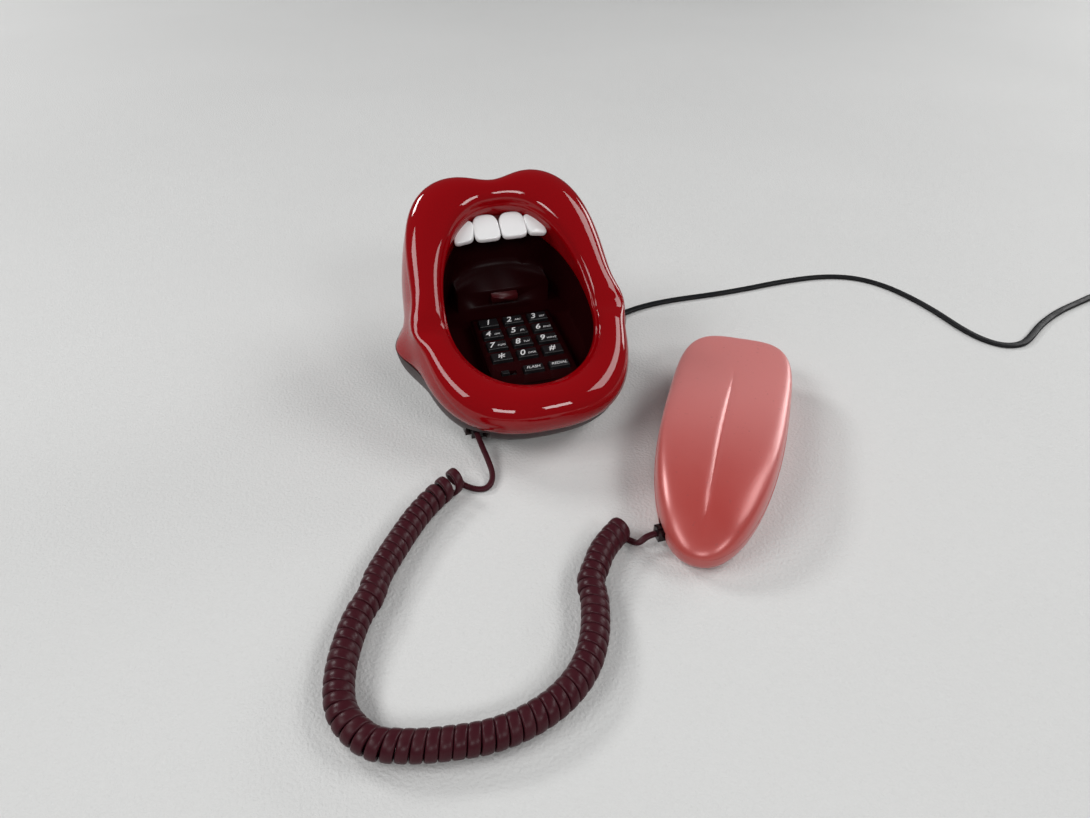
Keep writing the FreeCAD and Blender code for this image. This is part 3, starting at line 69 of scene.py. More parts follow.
class Value:
    """A number on a shader socket that takes part in Python arithmetic."""

    def __init__(self, shader: "Shader", socket: bpy.types.NodeSocket) -> None:
        """Wrap an output socket of a shader's tree."""
        self.shader = shader
        self.socket = socket

    def _math(self, operation: str, first: "Number", second: "Number") -> "Value":
        """Add a Math node.

        Args:
            operation: Name of the Math node's operation.
            first: First operand.
            second: Second operand.

        Returns:
            The node's result.
        """
        node = self.shader.add("ShaderNodeMath", {"operation": operation}, {0: first, 1: second})
        return Value(self.shader, node.outputs[0])

    def __add__(self, other: "Number") -> "Value":
        """Sum of two numbers."""
        return self._math("ADD", self, other)

    __radd__ = __add__

    def __sub__(self, other: "Number") -> "Value":
        """Difference of two numbers."""
        return self._math("SUBTRACT", self, other)

    def __rsub__(self, other: "Number") -> "Value":
        """Difference, from the other number."""
        return self._math("SUBTRACT", other, self)

    def __mul__(self, other: "Number") -> "Value":
        """Product of two numbers."""
        return self._math("MULTIPLY", self, other)

    __rmul__ = __mul__

    def above(self, limit: float) -> "Value":
        """1 where the number is over a limit, else 0."""
        return self._math("GREATER_THAN", self, limit)


Number = Value | float


class Shader:
    """A material whose nodes are added one by one and end in a Principled BSDF."""

    def __init__(self, name: str) -> None:
        """Start an empty node tree.

        Args:
            name: Name of the material.
        """
        self.material = bpy.data.materials.new(name)
        self.material.use_nodes = True
        self.tree = self.material.node_tree
        self.tree.nodes.clear()
        self.coordinates = self.add("ShaderNodeTexCoord", {}, {}).outputs["Object"]

    def add(self, kind: str, settings: dict, sockets: dict) -> bpy.types.Node:
        """Add any node.

        Args:
            kind: The node's type.
            settings: Attributes set first; "stops" holds a ramp's positions and colours.
            sockets: Values, wrapped numbers or sockets for the inputs, by name or number.

        Returns:
            The new node.
        """
        node = self.tree.nodes.new(kind)
        for name, value in settings.items():
            if name == "stops":
                self._set_stops(node.color_ramp, value)
            else:
                setattr(node, name, value)
        for name, value in sockets.items():
            if isinstance(value, Value):
                value = value.socket
            if isinstance(value, bpy.types.NodeSocket):
                self.tree.links.new(value, node.inputs[name])
            elif isinstance(value, tuple) and len(value) == 3 and node.inputs[name].type == "RGBA":
                node.inputs[name].default_value = (*value, 1.0)
            else:
                node.inputs[name].default_value = value
        return node

    @staticmethod
    def _set_stops(ramp: bpy.types.ColorRamp, stops: Sequence[tuple[float, float]]) -> None:
        """Give a ramp its grey stops.

        Args:
            ramp: The ramp to change.
            stops: Position and grey level of each stop.
        """
        while len(ramp.elements) < len(stops):
            ramp.elements.new(1.0)
        for element, (position, level) in zip(ramp.elements, stops):
            element.position = position
            element.color = (level, level, level, 1.0)

    def noise(self, scale: float, detail: float = 2.0, stretch: Point | None = None) -> Value:
        """Smooth noise on object coordinates.

        Args:
            scale: Blobs per metre.
            detail: Number of finer layers.
            stretch: Factors on the three axes, for a drawn-out grain.

        Returns:
            The noise, about 0 to 1.
        """
        vector = self.coordinates
        if stretch is not None:
            vector = self.add("ShaderNodeMapping", {}, {"Vector": vector, "Scale": stretch}).outputs[0]
        node = self.add("ShaderNodeTexNoise", {}, {"Vector": vector, "Scale": scale, "Detail": detail})
        return Value(self, node.outputs[0])

    def cells(self, scale: float) -> Value:
        """Distance to the nearest of scattered points, with that many per metre."""
        node = self.add("ShaderNodeTexVoronoi", {}, {"Vector": self.coordinates, "Scale": scale})
        return Value(self, node.outputs["Distance"])

    def ramp(self, value: Value, stops: Sequence[tuple[float, float]]) -> Value:
        """Remap a number through grey stops."""
        node = self.add("ShaderNodeValToRGB", {"stops": stops}, {"Fac": value})
        return Value(self, node.outputs[0])

    def mix(self, share: Value, first: Colour | bpy.types.NodeSocket,
            second: Colour | bpy.types.NodeSocket) -> bpy.types.NodeSocket:
        """Mix two colours.

        Args:
            share: How much of the second colour shows.
            first: Colour at 0.
            second: Colour at 1.

        Returns:
            The mixed colour's socket.
        """
        node = self.add("ShaderNodeMix", {"data_type": "RGBA"}, {0: share, 6: first, 7: second})
        return node.outputs[2]

    def bump(self, height: Value, strength: float, distance: float) -> bpy.types.NodeSocket:
        """Normal of a rough surface.

        Args:
            height: Height, 0 to 1.
            strength: How much of the effect shows.
            distance: Real height of 1, in metres.

        Returns:
            The normal's socket.
        """
        node = self.add("ShaderNodeBump", {}, {"Height": height, "Strength": strength, "Distance": distance})
        return node.outputs[0]

    def surface(self, sockets: dict) -> bpy.types.Material:
        """End the tree in a Principled BSDF.

        Args:
            sockets: Values, wrapped numbers or sockets for its inputs.

        Returns:
            The finished material.
        """
        shader = self.add("ShaderNodeBsdfPrincipled", {}, sockets)
        self.add("ShaderNodeOutputMaterial", {}, {"Surface": shader.outputs[0]})
        return self.material


@dataclass(frozen=True)
class TwoTone:
    """A finish: the record's name for its slot, and two colours that mix over the surface."""

    name: str
    colour: Colour
    other: Colour

    def material(self) -> bpy.types.Material:
        """Build the node material."""
        shader = Shader(self.name)
        return shader.surface(self.sockets(shader))

    def sockets(self, shader: Shader) -> dict:
        """Values and links for the Principled BSDF."""
        raise NotImplementedError


@dataclass(frozen=True)
class GlossMoulding(TwoTone):
    """Polished coloured plastic under a clear reflecting skin, with faint smears."""

    roughness: float = 0.3
    coat: float = 0.85

    def sockets(self, shader: Shader) -> dict:
        """Clouded colour below a smooth coat.

        Args:
            shader: Where the nodes go.

        Returns:
            Values and links for the Principled BSDF.
        """
        cloud = shader.noise(scale=22.0)
        smear = shader.noise(scale=60.0, detail=4.0, stretch=(1.0, 0.35, 1.0))
        peel = shader.noise(scale=160.0, detail=1.0)
        return {
            "Base Color": shader.mix(cloud * 0.5, self.colour, self.other),
            "Roughness": self.roughness + smear * 0.08,
            "Specular IOR Level": 0.0,
            "Coat Weight": self.coat,
            "Coat Roughness": 0.03,
            "Normal": shader.bump(peel, strength=0.02, distance=0.0004),
        }


@dataclass(frozen=True)
class SatinMoulding(TwoTone):
    """Moulded plastic with the fine eroded grain of its tool, a little shinier where it is rubbed."""

    roughness: float = 0.42
    grain: float = 1400.0
    depth: float = 0.00004
    shine: float = 0.4

    def sockets(self, shader: Shader) -> dict:
        """Grain all over, and rubbed patches.

        Args:
            shader: Where the nodes go.

        Returns:
            Values and links for the Principled BSDF.
        """
        wear = shader.ramp(shader.noise(scale=45.0, detail=4.0), [(0.35, 0.0), (0.75, 1.0)])
        grain = shader.noise(scale=self.grain)
        return {
            "Base Color": shader.mix(wear * 0.6, self.colour, self.other),
            "Roughness": self.roughness + grain * 0.12 - wear * 0.1,
            "Specular IOR Level": self.shine,
            "Normal": shader.bump(grain, strength=0.35, distance=self.depth),
        }


@dataclass(frozen=True)
class PearlMoulding(TwoTone):
    """Translucent plastic full of fine pearl flakes, with a painted sheen: paler towards the ear end, deeper
    towards the tip.
    """

    deep: Colour
    speck: Colour = (0.25, 0.07, 0.07)
    roughness: float = 0.3
    # Direction and span of the painted sheen, which stands for soft light reflected on the flat top towards
    # the ear end
    along: Point = (-math.sin(HANDSET_HEADING), math.cos(HANDSET_HEADING), 0.0)
    painted_sheen_from: float = -0.115
    painted_sheen_to: float = 0.005

    def sockets(self, shader: Shader) -> dict:
        """Milky colour with a painted sheen that pales it towards the ear end, with swirls, flakes and
        specks.

        Args:
            shader: Where the nodes go.

        Returns:
            Values and links for the Principled BSDF.
        """
        swirl = shader.noise(scale=28.0, detail=3.0, stretch=(1.0, 0.6, 1.0))
        flake = shader.ramp(shader.cells(2600.0), [(0.0, 1.0), (0.35, 0.0)])
        specks = shader.noise(scale=420.0, detail=1.0).above(0.735)
        dot = shader.add("ShaderNodeVectorMath", {"operation": "DOT_PRODUCT"},
                         {0: shader.coordinates, 1: self.along})
        # painted sheen: the colour pales from the tip towards the ear end, in place of reflected soft light
        painted_sheen_share = shader.add("ShaderNodeMapRange", {"interpolation_type": "SMOOTHSTEP"}, {
            "Value": dot.outputs["Value"], "From Min": self.painted_sheen_from, "From Max": self.painted_sheen_to})
        pearl_with_painted_sheen = shader.mix(Value(shader, painted_sheen_share.outputs[0]), self.deep, self.colour)
        pearl_with_painted_sheen = shader.mix(swirl * 0.3 + flake * 0.12, pearl_with_painted_sheen, self.other)
        return {
            "Base Color": shader.mix(specks * 0.25, pearl_with_painted_sheen, self.speck),
            "Roughness": self.roughness + swirl * 0.06 - flake * 0.08,
            "Metallic": 0.12 + flake * 0.1,
            "Subsurface Weight": 0.12,
            "Subsurface Radius": (0.008, 0.003, 0.003),
            "Coat Weight": 0.45,
            "Coat Roughness": 0.26,
            "Sheen Weight": 0.1,
            "Sheen Roughness": 0.4,
            "Normal": shader.bump(flake, strength=0.08, distance=0.00003),
        }


@dataclass(frozen=True)
class Vinyl(TwoTone):
    """Flexible vinyl of a cord: an even colour, soft gloss and faint extrusion lines."""

    roughness: float = 0.36

    def sockets(self, shader: Shader) -> dict:
        """Dusty patches over fine lines.

        Args:
            shader: Where the nodes go.

        Returns:
            Values and links for the Principled BSDF.
        """
        dust = shader.ramp(shader.noise(scale=130.0, detail=5.0), [(0.45, 0.0), (0.8, 1.0)])
        lines = shader.noise(scale=900.0, stretch=(1.0, 1.0, 0.3))
        return {
            "Base Color": shader.mix(dust * 0.4, self.colour, self.other),
            "Roughness": self.roughness + dust * 0.14,
            "Specular IOR Level": 0.15,
            "Normal": shader.bump(lines, strength=0.12, distance=0.00004),
        }


@dataclass(frozen=True)
class Rubber(TwoTone):
    """Dull moulded rubber."""

    def sockets(self, shader: Shader) -> dict:
        """A dull bloom over the colour.

        Args:
            shader: Where the nodes go.

        Returns:
            Values and links for the Principled BSDF.
        """
        bloom = shader.noise(scale=240.0, detail=5.0)
        return {
            "Base Color": shader.mix(bloom * 0.6, self.colour, self.other),
            "Roughness": 0.68 + bloom * 0.2,
            "Normal": shader.bump(bloom, strength=0.25, distance=0.00008),
        }


@dataclass(frozen=True)
class PlatedMetal(TwoTone):
    """Plated or drawn metal with a brushed grain."""

    roughness: float = 0.3

    def sockets(self, shader: Shader) -> dict:
        """Stains under a brushed grain.

        Args:
            shader: Where the nodes go.

        Returns:
            Values and links for the Principled BSDF.
        """
        brush = shader.noise(scale=700.0, detail=3.0, stretch=(0.08, 1.0, 1.0))
        stain = shader.noise(scale=60.0, detail=4.0)
        return {
            "Base Color": shader.mix(stain * 0.5, self.colour, self.other),
            "Metallic": 1.0,
            "Roughness": self.roughness + brush * 0.16,
            "Normal": shader.bump(brush, strength=0.1, distance=0.00002),
        }


@dataclass(frozen=True)
class ClearMoulding(TwoTone):
    """Clear hard plastic of a modular plug, with flow marks."""

    def sockets(self, shader: Shader) -> dict:
        """Clear body with hazy flow marks.

        Args:
            shader: Where the nodes go.

        Returns:
            Values and links for the Principled BSDF.
        """
        flow = shader.noise(scale=300.0, detail=3.0, stretch=(1.0, 0.3, 1.0))
        return {
            "Base Color": shader.mix(flow * 0.5, self.colour, self.other),
            "Roughness": 0.06 + flow * 0.1,
            "Transmission Weight": 0.75,
            "IOR": 1.49,
            "Normal": shader.bump(flow, strength=0.1, distance=0.00005),
        }


@dataclass(frozen=True)
class CircuitBoard(TwoTone):
    """Green lacquered board with paler tracks below the lacquer."""

    def sockets(self, shader: Shader) -> dict:
        """Tracks between scattered cells, on a fine weave.

        Args:
            shader: Where the nodes go.

        Returns:
            Values and links for the Principled BSDF.
        """
        lines = shader.ramp(shader.cells(420.0), [(0.42, 0.0), (0.5, 1.0)])
        weave = shader.noise(scale=1500.0, detail=1.0)
        return {
            "Base Color": shader.mix(lines, self.colour, self.other),
            "Roughness": 0.3 + weave * 0.12,
            "Coat Weight": 0.4,
            "Normal": shader.bump(weave, strength=0.15, distance=0.00003),
        }


@dataclass(frozen=True)
class PrintedInk(TwoTone):
    """White ink printed on a key, thin and a little rubbed."""

    def sockets(self, shader: Shader) -> dict:
        """Ink with rubbed patches.

        Args:
            shader: Where the nodes go.

        Returns:
            Values and links for the Principled BSDF.
        """
        wear = shader.ramp(shader.noise(scale=900.0, detail=4.0), [(0.4, 0.0), (0.8, 1.0)])
        return {
            "Base Color": shader.mix(wear * 0.5, self.colour, self.other),
            "Roughness": 0.45 + wear * 0.2,
        }


class Finish(Enum):
    """Every finish of the telephone, by the record's name for its slot."""

    LIPS = GlossMoulding("lips_red", (0.28, 0.0008, 0.0032), (0.22, 0.0006, 0.0024))
    TEETH = GlossMoulding("tooth_white", (0.90, 0.90, 0.90), (0.85, 0.85, 0.85))
    TRAY = SatinMoulding("tray_dark", (0.040, 0.022, 0.023), (0.060, 0.038, 0.038), 0.4)
    LINER = SatinMoulding("liner_dark", (0.014, 0.0010, 0.0015), (0.020, 0.0025, 0.003),
                          0.3, 900.0, 0.00002, 0.06)
    HOOK = SatinMoulding("liner_red", (0.060, 0.004, 0.006), (0.080, 0.010, 0.012), 0.32)
    KEYS = SatinMoulding("key_black", (0.006, 0.006, 0.007), (0.012, 0.012, 0.013), 0.34, 1800.0, 0.00002)
    SWITCH = SatinMoulding("black_plastic", (0.010, 0.010, 0.011), (0.020, 0.020, 0.020), 0.4)
    JACK = SatinMoulding("jack_maroon", (0.018, 0.008, 0.008), (0.030, 0.016, 0.016), 0.4)
    # tongue: the first colour is the ear end's painted sheen, the third the deeper tip without it
    TONGUE = PearlMoulding("tongue_pink", (0.68, 0.215, 0.205), (0.72, 0.25, 0.225), (0.42, 0.034, 0.028))
    CURL = Vinyl("cord_maroon", (0.046, 0.008, 0.0125), (0.062, 0.016, 0.020), 0.32)
    LEAD = Vinyl("cord_black", (0.008, 0.008, 0.009), (0.025, 0.025, 0.026), 0.42)
    FEET = Rubber("rubber_black", (0.012, 0.012, 0.012), (0.028, 0.027, 0.026))
    MAT = Rubber("rubber_grey", (0.17, 0.17, 0.17), (0.24, 0.24, 0.24))
    BOARD = CircuitBoard("board_green", (0.010, 0.075, 0.020), (0.030, 0.13, 0.045))
    PLUG = ClearMoulding("plug_clear", (0.030, 0.010, 0.012), (0.018, 0.007, 0.008))
    BRASS = PlatedMetal("brass_disc", (0.60, 0.40, 0.12), (0.42, 0.27, 0.09))
    BALLAST = PlatedMetal("ballast_steel", (0.36, 0.36, 0.37), (0.26, 0.25, 0.24), 0.45)
    SCREW = PlatedMetal("screw_steel", (0.50, 0.50, 0.51), (0.38, 0.37, 0.36))
    INK = PrintedInk("legend_ink", (0.80, 0.80, 0.80), (0.55, 0.55, 0.55))
    CAPSULE = PlatedMetal("capsule_metal", (0.55, 0.55, 0.56), (0.45, 0.45, 0.45), 0.35)


class Wardrobe:
    """Keeps one material per finish and puts it on pieces."""

    def __init__(self) -> None:
        """Start with no material made."""
        self.made: dict[Finish, bpy.types.Material] = {}

    def dress(self, piece: bpy.types.Object, finish: Finish) -> bpy.types.Object:
        """Give a piece one finish.

        Args:
            piece: The object to dress.
            finish: Its finish.

        Returns:
            The same object.
        """
        if finish not in self.made:
            self.made[finish] = finish.value.material()
        piece.data.materials.clear()
        piece.data.materials.append(self.made[finish])
        return piece


WARDROBE = Wardrobe()


def ride(piece: bpy.types.Object, body: str, *nodes: str) -> bpy.types.Object:
    """Let a piece move with a body and stand for some nodes.

    Args:
        piece: The finished piece.
        body: Body that carries it.
        nodes: Nodes that it replaces.

    Returns:
        The same piece.
    """
    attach(piece, body)
    if nodes:
        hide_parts(*nodes)
    LOG.info("%s rides on %s", piece.name, body)
    return piece


def link(name: str, data: bpy.types.ID) -> bpy.types.Object:
    """Put a new object in the scene, at the origin.

    Args:
        name: Name of the object.
        data: Its mesh, lamp or camera.

    Returns:
        The new object.
    """
    piece = bpy.data.objects.new(name, data)
    bpy.context.scene.collection.objects.link(piece)
    return piece


def shaded(name: str, form: bmesh.types.BMesh, sharp: float) -> bpy.types.Object:
    """Turn a mesh in the making into a smooth object.

    Args:
        name: Name of the object and of its mesh.
        form: The mesh, which is used up.
        sharp: Edges that turn by more degrees than this stay sharp.

    Returns:
        The new object.
    """
    data = bpy.data.meshes.new(name)
    form.to_mesh(data)
    form.free()
    data.shade_smooth()
    data.set_sharp_from_angle(angle=math.radians(sharp))
    return link(name, data)


def curve_mesh(data: bpy.types.Curve) -> bpy.types.Mesh:
    """Read a curve as a mesh, and drop the curve.

    Args:
        data: The curve or text, which is used up.

    Returns:
        The new mesh.
    """
    holder = bpy.data.objects.new(data.name, data)
    mesh = bpy.data.meshes.new_from_object(holder)
    bpy.data.objects.remove(holder)
    bpy.data.curves.remove(data)
    return mesh


class Form:
    """A mesh in the making, in millimetres, grown ring by ring."""

    def __init__(self, name: str) -> None:
        """Start an empty mesh whose points remember their spoke in a ring.

        Args:
            name: Name of the piece.
        """
        self.name = name
        self.mesh = bmesh.new()
        self.spoke = self.mesh.verts.layers.int.new("spoke")

    def ring(self, points: Sequence[Vector]) -> list[bmesh.types.BMEdge]:
        """Start a closed ring.

        Args:
            points: Where the ring's points go.

        Returns:
            The ring's edges.
        """
        made = bmesh.ops.create_circle(self.mesh, segments=len(points), radius=1.0)["verts"]
        for index, vertex in enumerate(made):
            vertex[self.spoke] = index
            vertex.co = points[index]
        return list(dict.fromkeys(edge for vertex in made for edge in vertex.link_edges))

    def grow(self, ring: list[bmesh.types.BMEdge], points: Sequence[Vector]) -> list[bmesh.types.BMEdge]:
        """Extrude a ring and set its new points.

        Args:
            ring: Edges of the last ring.
            points: Where the new points go, by spoke.

        Returns:
            The new ring's edges.
        """
        made = bmesh.ops.extrude_edge_only(self.mesh, edges=ring)["geom"]
        fresh = {item for item in made if isinstance(item, bmesh.types.BMVert)}
        for vertex in fresh:
            vertex.co = points[vertex[self.spoke]]
        edges = [item for item in made if isinstance(item, bmesh.types.BMEdge)]
        return [edge for edge in edges if fresh.issuperset(edge.verts)]

    def loft(self, rows: Sequence[Sequence[Vector]]) -> tuple[list, list]:
        """Grow a skin through rows of ring points.

        Args:
            rows: Points of each ring.

        Returns:
            Edges of the first and of the last ring.
        """
        first = self.ring(rows[0])
        last = first
        for row in rows[1:]:
            last = self.grow(last, row)
        return first, last

    def cap(self, ring: list[bmesh.types.BMEdge]) -> None:
        """Close a ring with a face."""
        bmesh.ops.edgeloop_fill(self.mesh, edges=ring)

    def solid(self, rows: Sequence[Sequence[Vector]]) -> None:
        """Grow a skin through rows of ring points and close both of its ends."""
        for ring in self.loft(rows):
            self.cap(ring)

    def weld(self, distance: float = 0.01) -> None:
        """Join points that lie together, and drop what that leaves without size."""
        bmesh.ops.remove_doubles(self.mesh, verts=self.mesh.verts[:], dist=distance)
        bmesh.ops.dissolve_degenerate(self.mesh, edges=self.mesh.edges[:], dist=distance)

    def finish(self, place: Matrix | None = None, sharp: float = 40.0) -> bpy.types.Object:
        """Turn the form into an object at the origin, in metres.

        Args:
            place: Where it goes, in millimetres.
            sharp: Edges that turn by more degrees than this stay sharp.

        Returns:
            The new object.
        """
        bmesh.ops.recalc_face_normals(self.mesh, faces=self.mesh.faces[:])
        self.mesh.transform(Matrix.Scale(MM, 4) @ (place or Matrix.Identity(4)))
        return shaded(self.name, self.mesh, sharp)


def subdivide(piece: bpy.types.Object, levels: int) -> None:
    """Add a subdivision surface that shows the same in every view.

    Args:
        piece: The object to smooth.
        levels: How often each face is split.
    """
    modifier = piece.modifiers.new("smooth", "SUBSURF")
    modifier.levels = levels
    modifier.render_levels = levels


def thicken(piece: bpy.types.Object, wall: float) -> None:
    """Give a skin its wall, on the inner side.

    Args:
        piece: The skin.
        wall: Thickness in millimetres.
    """
    modifier = piece.modifiers.new("wall", "SOLIDIFY")
    modifier.thickness = wall * MM
    modifier.offset = -1.0


def smooth_copy(node: str, sharp: float = 32.0) -> bpy.types.Object:
    """Copy a node's triangles, joined up and shaded smooth.

    Args:
        node: The node to copy.
        sharp: Edges that turn by more degrees than this stay sharp.

    Returns:
        The new object, which still has to ride and to replace the node.
    """
    form = bmesh.new()
    form.from_mesh(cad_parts[node].data)
    bmesh.ops.remove_doubles(form, verts=form.verts, dist=SAME_PLACE * MM)
    return shaded(node + "_smooth", form, sharp)


def superellipse(angle: float, half_width: float, rise: float, drop: float, power: float) -> float:
    """Radius of an oval with its own reach above and below.

    Args:
        angle: Direction in radians.
        half_width: Reach to each side.
        rise: Reach upwards.
        drop: Reach downwards.
        power: 2 is an ellipse, more is boxier.

    Returns:
        The radius in that direction.
    """
    reach = rise if math.sin(angle) > 0 else drop
    across = abs(math.cos(angle) / half_width) ** power
    along = abs(math.sin(angle) / reach) ** power
    return (across + along) ** (-1 / power)


def bell(angle: float, centre: float, spread: float) -> float:
    """Smooth bump of height 1 around an angle.

    Args:
        angle: Where it is read, in radians.
        centre: Where its top is, in degrees.
        spread: Its half width, in degrees.

    Returns:
        The height there.
    """
    offset = angle - math.radians(centre)
    turn = math.atan2(math.sin(offset), math.cos(offset))
    return math.exp(-((turn / math.radians(spread)) ** 2))


def oval(angle: float, power: float) -> tuple[float, float]:
    """Point on an oval with half axes of 1; power 2 is a circle, more is boxier."""
    x, y = math.cos(angle), math.sin(angle)
    return math.copysign(abs(x) ** (2 / power), x), math.copysign(abs(y) ** (2 / power), y)


@dataclass
class Lips:
    """Glossy lips: the tilted mouth ring, its skirt down to the tray, and the throat inside.

    The opening and the edge have a half width, a rise and a drop, and a bow has a depth and a spread in
    degrees. Crests are heights at the corners, below and above. Rows count the skirt, the lip and the throat.
    """

    tilt: float = math.radians(35)
    centre: Point = (0.0, -20.5, 65.5)
    opening: Point = (43.0, 68.0, 48.0)
    opening_power: float = 2.1
    opening_bow: tuple[float, float] = (2.0, 12.0)
    edge: Point = (60.0, 93.0, 74.0)
    upper_power: float = 3.5
    lower_power: float = 2.6
    edge_bow: tuple[float, float] = (8.0, 11.0)
    corner_spread: float = 12.0
    corner_reach: float = 4.0
    foot: float = 3.0
    corner_foot: float = 9.0
    crests: Point = (6.0, 12.0, 11.0)
    throat_depth: float = 4.0
    throat_slope: float = math.tan(math.radians(10))
    rim: Point = (62.0, 72.0, 2.6)
    rim_corner: float = 11.0
    rim_height: float = 14.0
    rim_slope: float = math.tan(math.radians(18))
    skirt_bulge: float = 0.1
    notch: float = 0.42
    notch_places: tuple[float, float] = (-4.0, 184.0)
    notch_spread: float = 7.0
    inner_line: Point = (0.7, math.radians(150), math.radians(7))
    wall: float = 2.4
    spokes: int = 144
    rows: tuple[int, int, int] = (8, 36, 4)
    frame_matrix: Matrix = field(init=False)

    def __post_init__(self) -> None:
        """Work out the tilted frame of the mouth."""
        self.frame_matrix = Matrix.Translation(self.centre) @ Matrix.Rotation(self.tilt, 4, "X")

    def corner(self, angle: float) -> float:
        """1 at the two corners of the mouth, 0 elsewhere."""
        return bell(angle, 0, self.corner_spread) + bell(angle, 180, self.corner_spread)

    def opening_radius(self, angle: float) -> float:
        """Inner edge of the lips in the mouth plane."""
        depth, spread = self.opening_bow
        return superellipse(angle, *self.opening, self.opening_power) - depth * bell(angle, 90, spread)

    def edge_radius(self, angle: float) -> float:
        """Outer edge of the lips in the mouth plane, boxier above, with the bow of the upper lip.

        Args:
            angle: Direction round the mouth, in radians.

        Returns:
            Distance from the middle of the mouth.
        """
        power = self.upper_power if math.sin(angle) > 0 else self.lower_power
        depth, spread = self.edge_bow
        bow = depth * bell(angle, 90, spread)
        return superellipse(angle, *self.edge, power) - bow + self.corner_reach * self.corner(angle)

    def eased(self, angle: float, at_corner: float, at_bottom: float, at_top: float) -> float:
        """Ease a value from the corners of the mouth to the middle of each lip."""
        middle = at_top if math.sin(angle) > 0 else at_bottom
        return at_corner + (middle - at_corner) * math.sin(angle) ** 2

    def at(self, angle: float, radius: float, out: float) -> Vector:
        """Point given round the mouth ring."""
        return self.frame_matrix @ Vector((radius * math.cos(angle), radius * math.sin(angle), out))

    def lip_point(self, angle: float, turn: float) -> Vector:
        """Point on the half oval of a lip, notched where the lips meet.

        Args:
            angle: Direction round the mouth, in radians.
            turn: Angle over the lip, 0 at its outer edge.

        Returns:
            The point.
        """
        inner, outer = self.opening_radius(angle), self.edge_radius(angle)
        foot = -self.eased(angle, self.corner_foot, self.foot, self.foot)
        crest = self.eased(angle, *self.crests)
        crest *= 1 - self.notch * sum(bell(angle, place, self.notch_spread) for place in self.notch_places)
        radius = (inner + outer) / 2 + (outer - inner) / 2 * math.cos(turn)
        depth, place, spread = self.inner_line
        line = depth * math.exp(-((turn - place) / spread) ** 2)
        return self.at(angle, radius, foot + crest * math.sin(turn) - line)

    def throat_point(self, angle: float) -> Vector:
        """Point on the slanted plane where the lips end inside the mouth.

        Args:
            angle: Direction round the mouth, in radians.

        Returns:
            The point.
        """
        radius = self.opening_radius(angle)
        along = radius * math.sin(angle) + self.opening[2]
        return self.at(angle, radius, -self.throat_depth - along * self.throat_slope)

    def rim_point(self, angle: float) -> Vector:
        """Point on the parting line of lips and tray.

        Args:
            angle: Direction round the base, in radians.

        Returns:
            The point.
        """
        half_width, reach, power = self.rim
        radius = superellipse(angle, half_width, reach, reach, power) + self.rim_corner * self.corner(angle)
        y = radius * math.sin(angle)
        return Vector((radius * math.cos(angle), y, self.rim_height + (y + reach) * self.rim_slope))

    def section(self, angle: float) -> list[Vector]:
        """Section of the lips from the rim over the lip into the throat.

        Args:
            angle: Direction round the mouth, in radians.

        Returns:
            The section's points.
        """
        skirt, lip, throat = self.rows
        start, edge = self.rim_point(angle), self.lip_point(angle, 0.0)
        rise = edge - start
        outward = Vector((math.cos(angle), math.sin(angle), 0.0))
        bulge = self.skirt_bulge * rise.length * (1 - 2 * self.corner(angle))
        points = []
        for step in range(skirt):
            share = step / skirt
            points.append(start + rise * share + outward * (bulge * 4 * share * (1 - share)))
        points += [self.lip_point(angle, math.pi * step / lip) for step in range(lip + 1)]
        end = self.throat_point(angle)
        return points + [points[-1].lerp(end, step / throat) for step in range(1, throat + 1)]

    def build(self) -> None:
        """Model the lips as one smooth skin with a wall."""
        form = Form("lips")
        sections = [self.section(2 * math.pi * spoke / self.spokes) for spoke in range(self.spokes)]
        form.loft(list(zip(*sections)))
        piece = form.finish(sharp=180.0)
        thicken(piece, self.wall)
        subdivide(piece, 1)
        ride(WARDROBE.dress(piece, Finish.LIPS), BASE, "lips_shell")


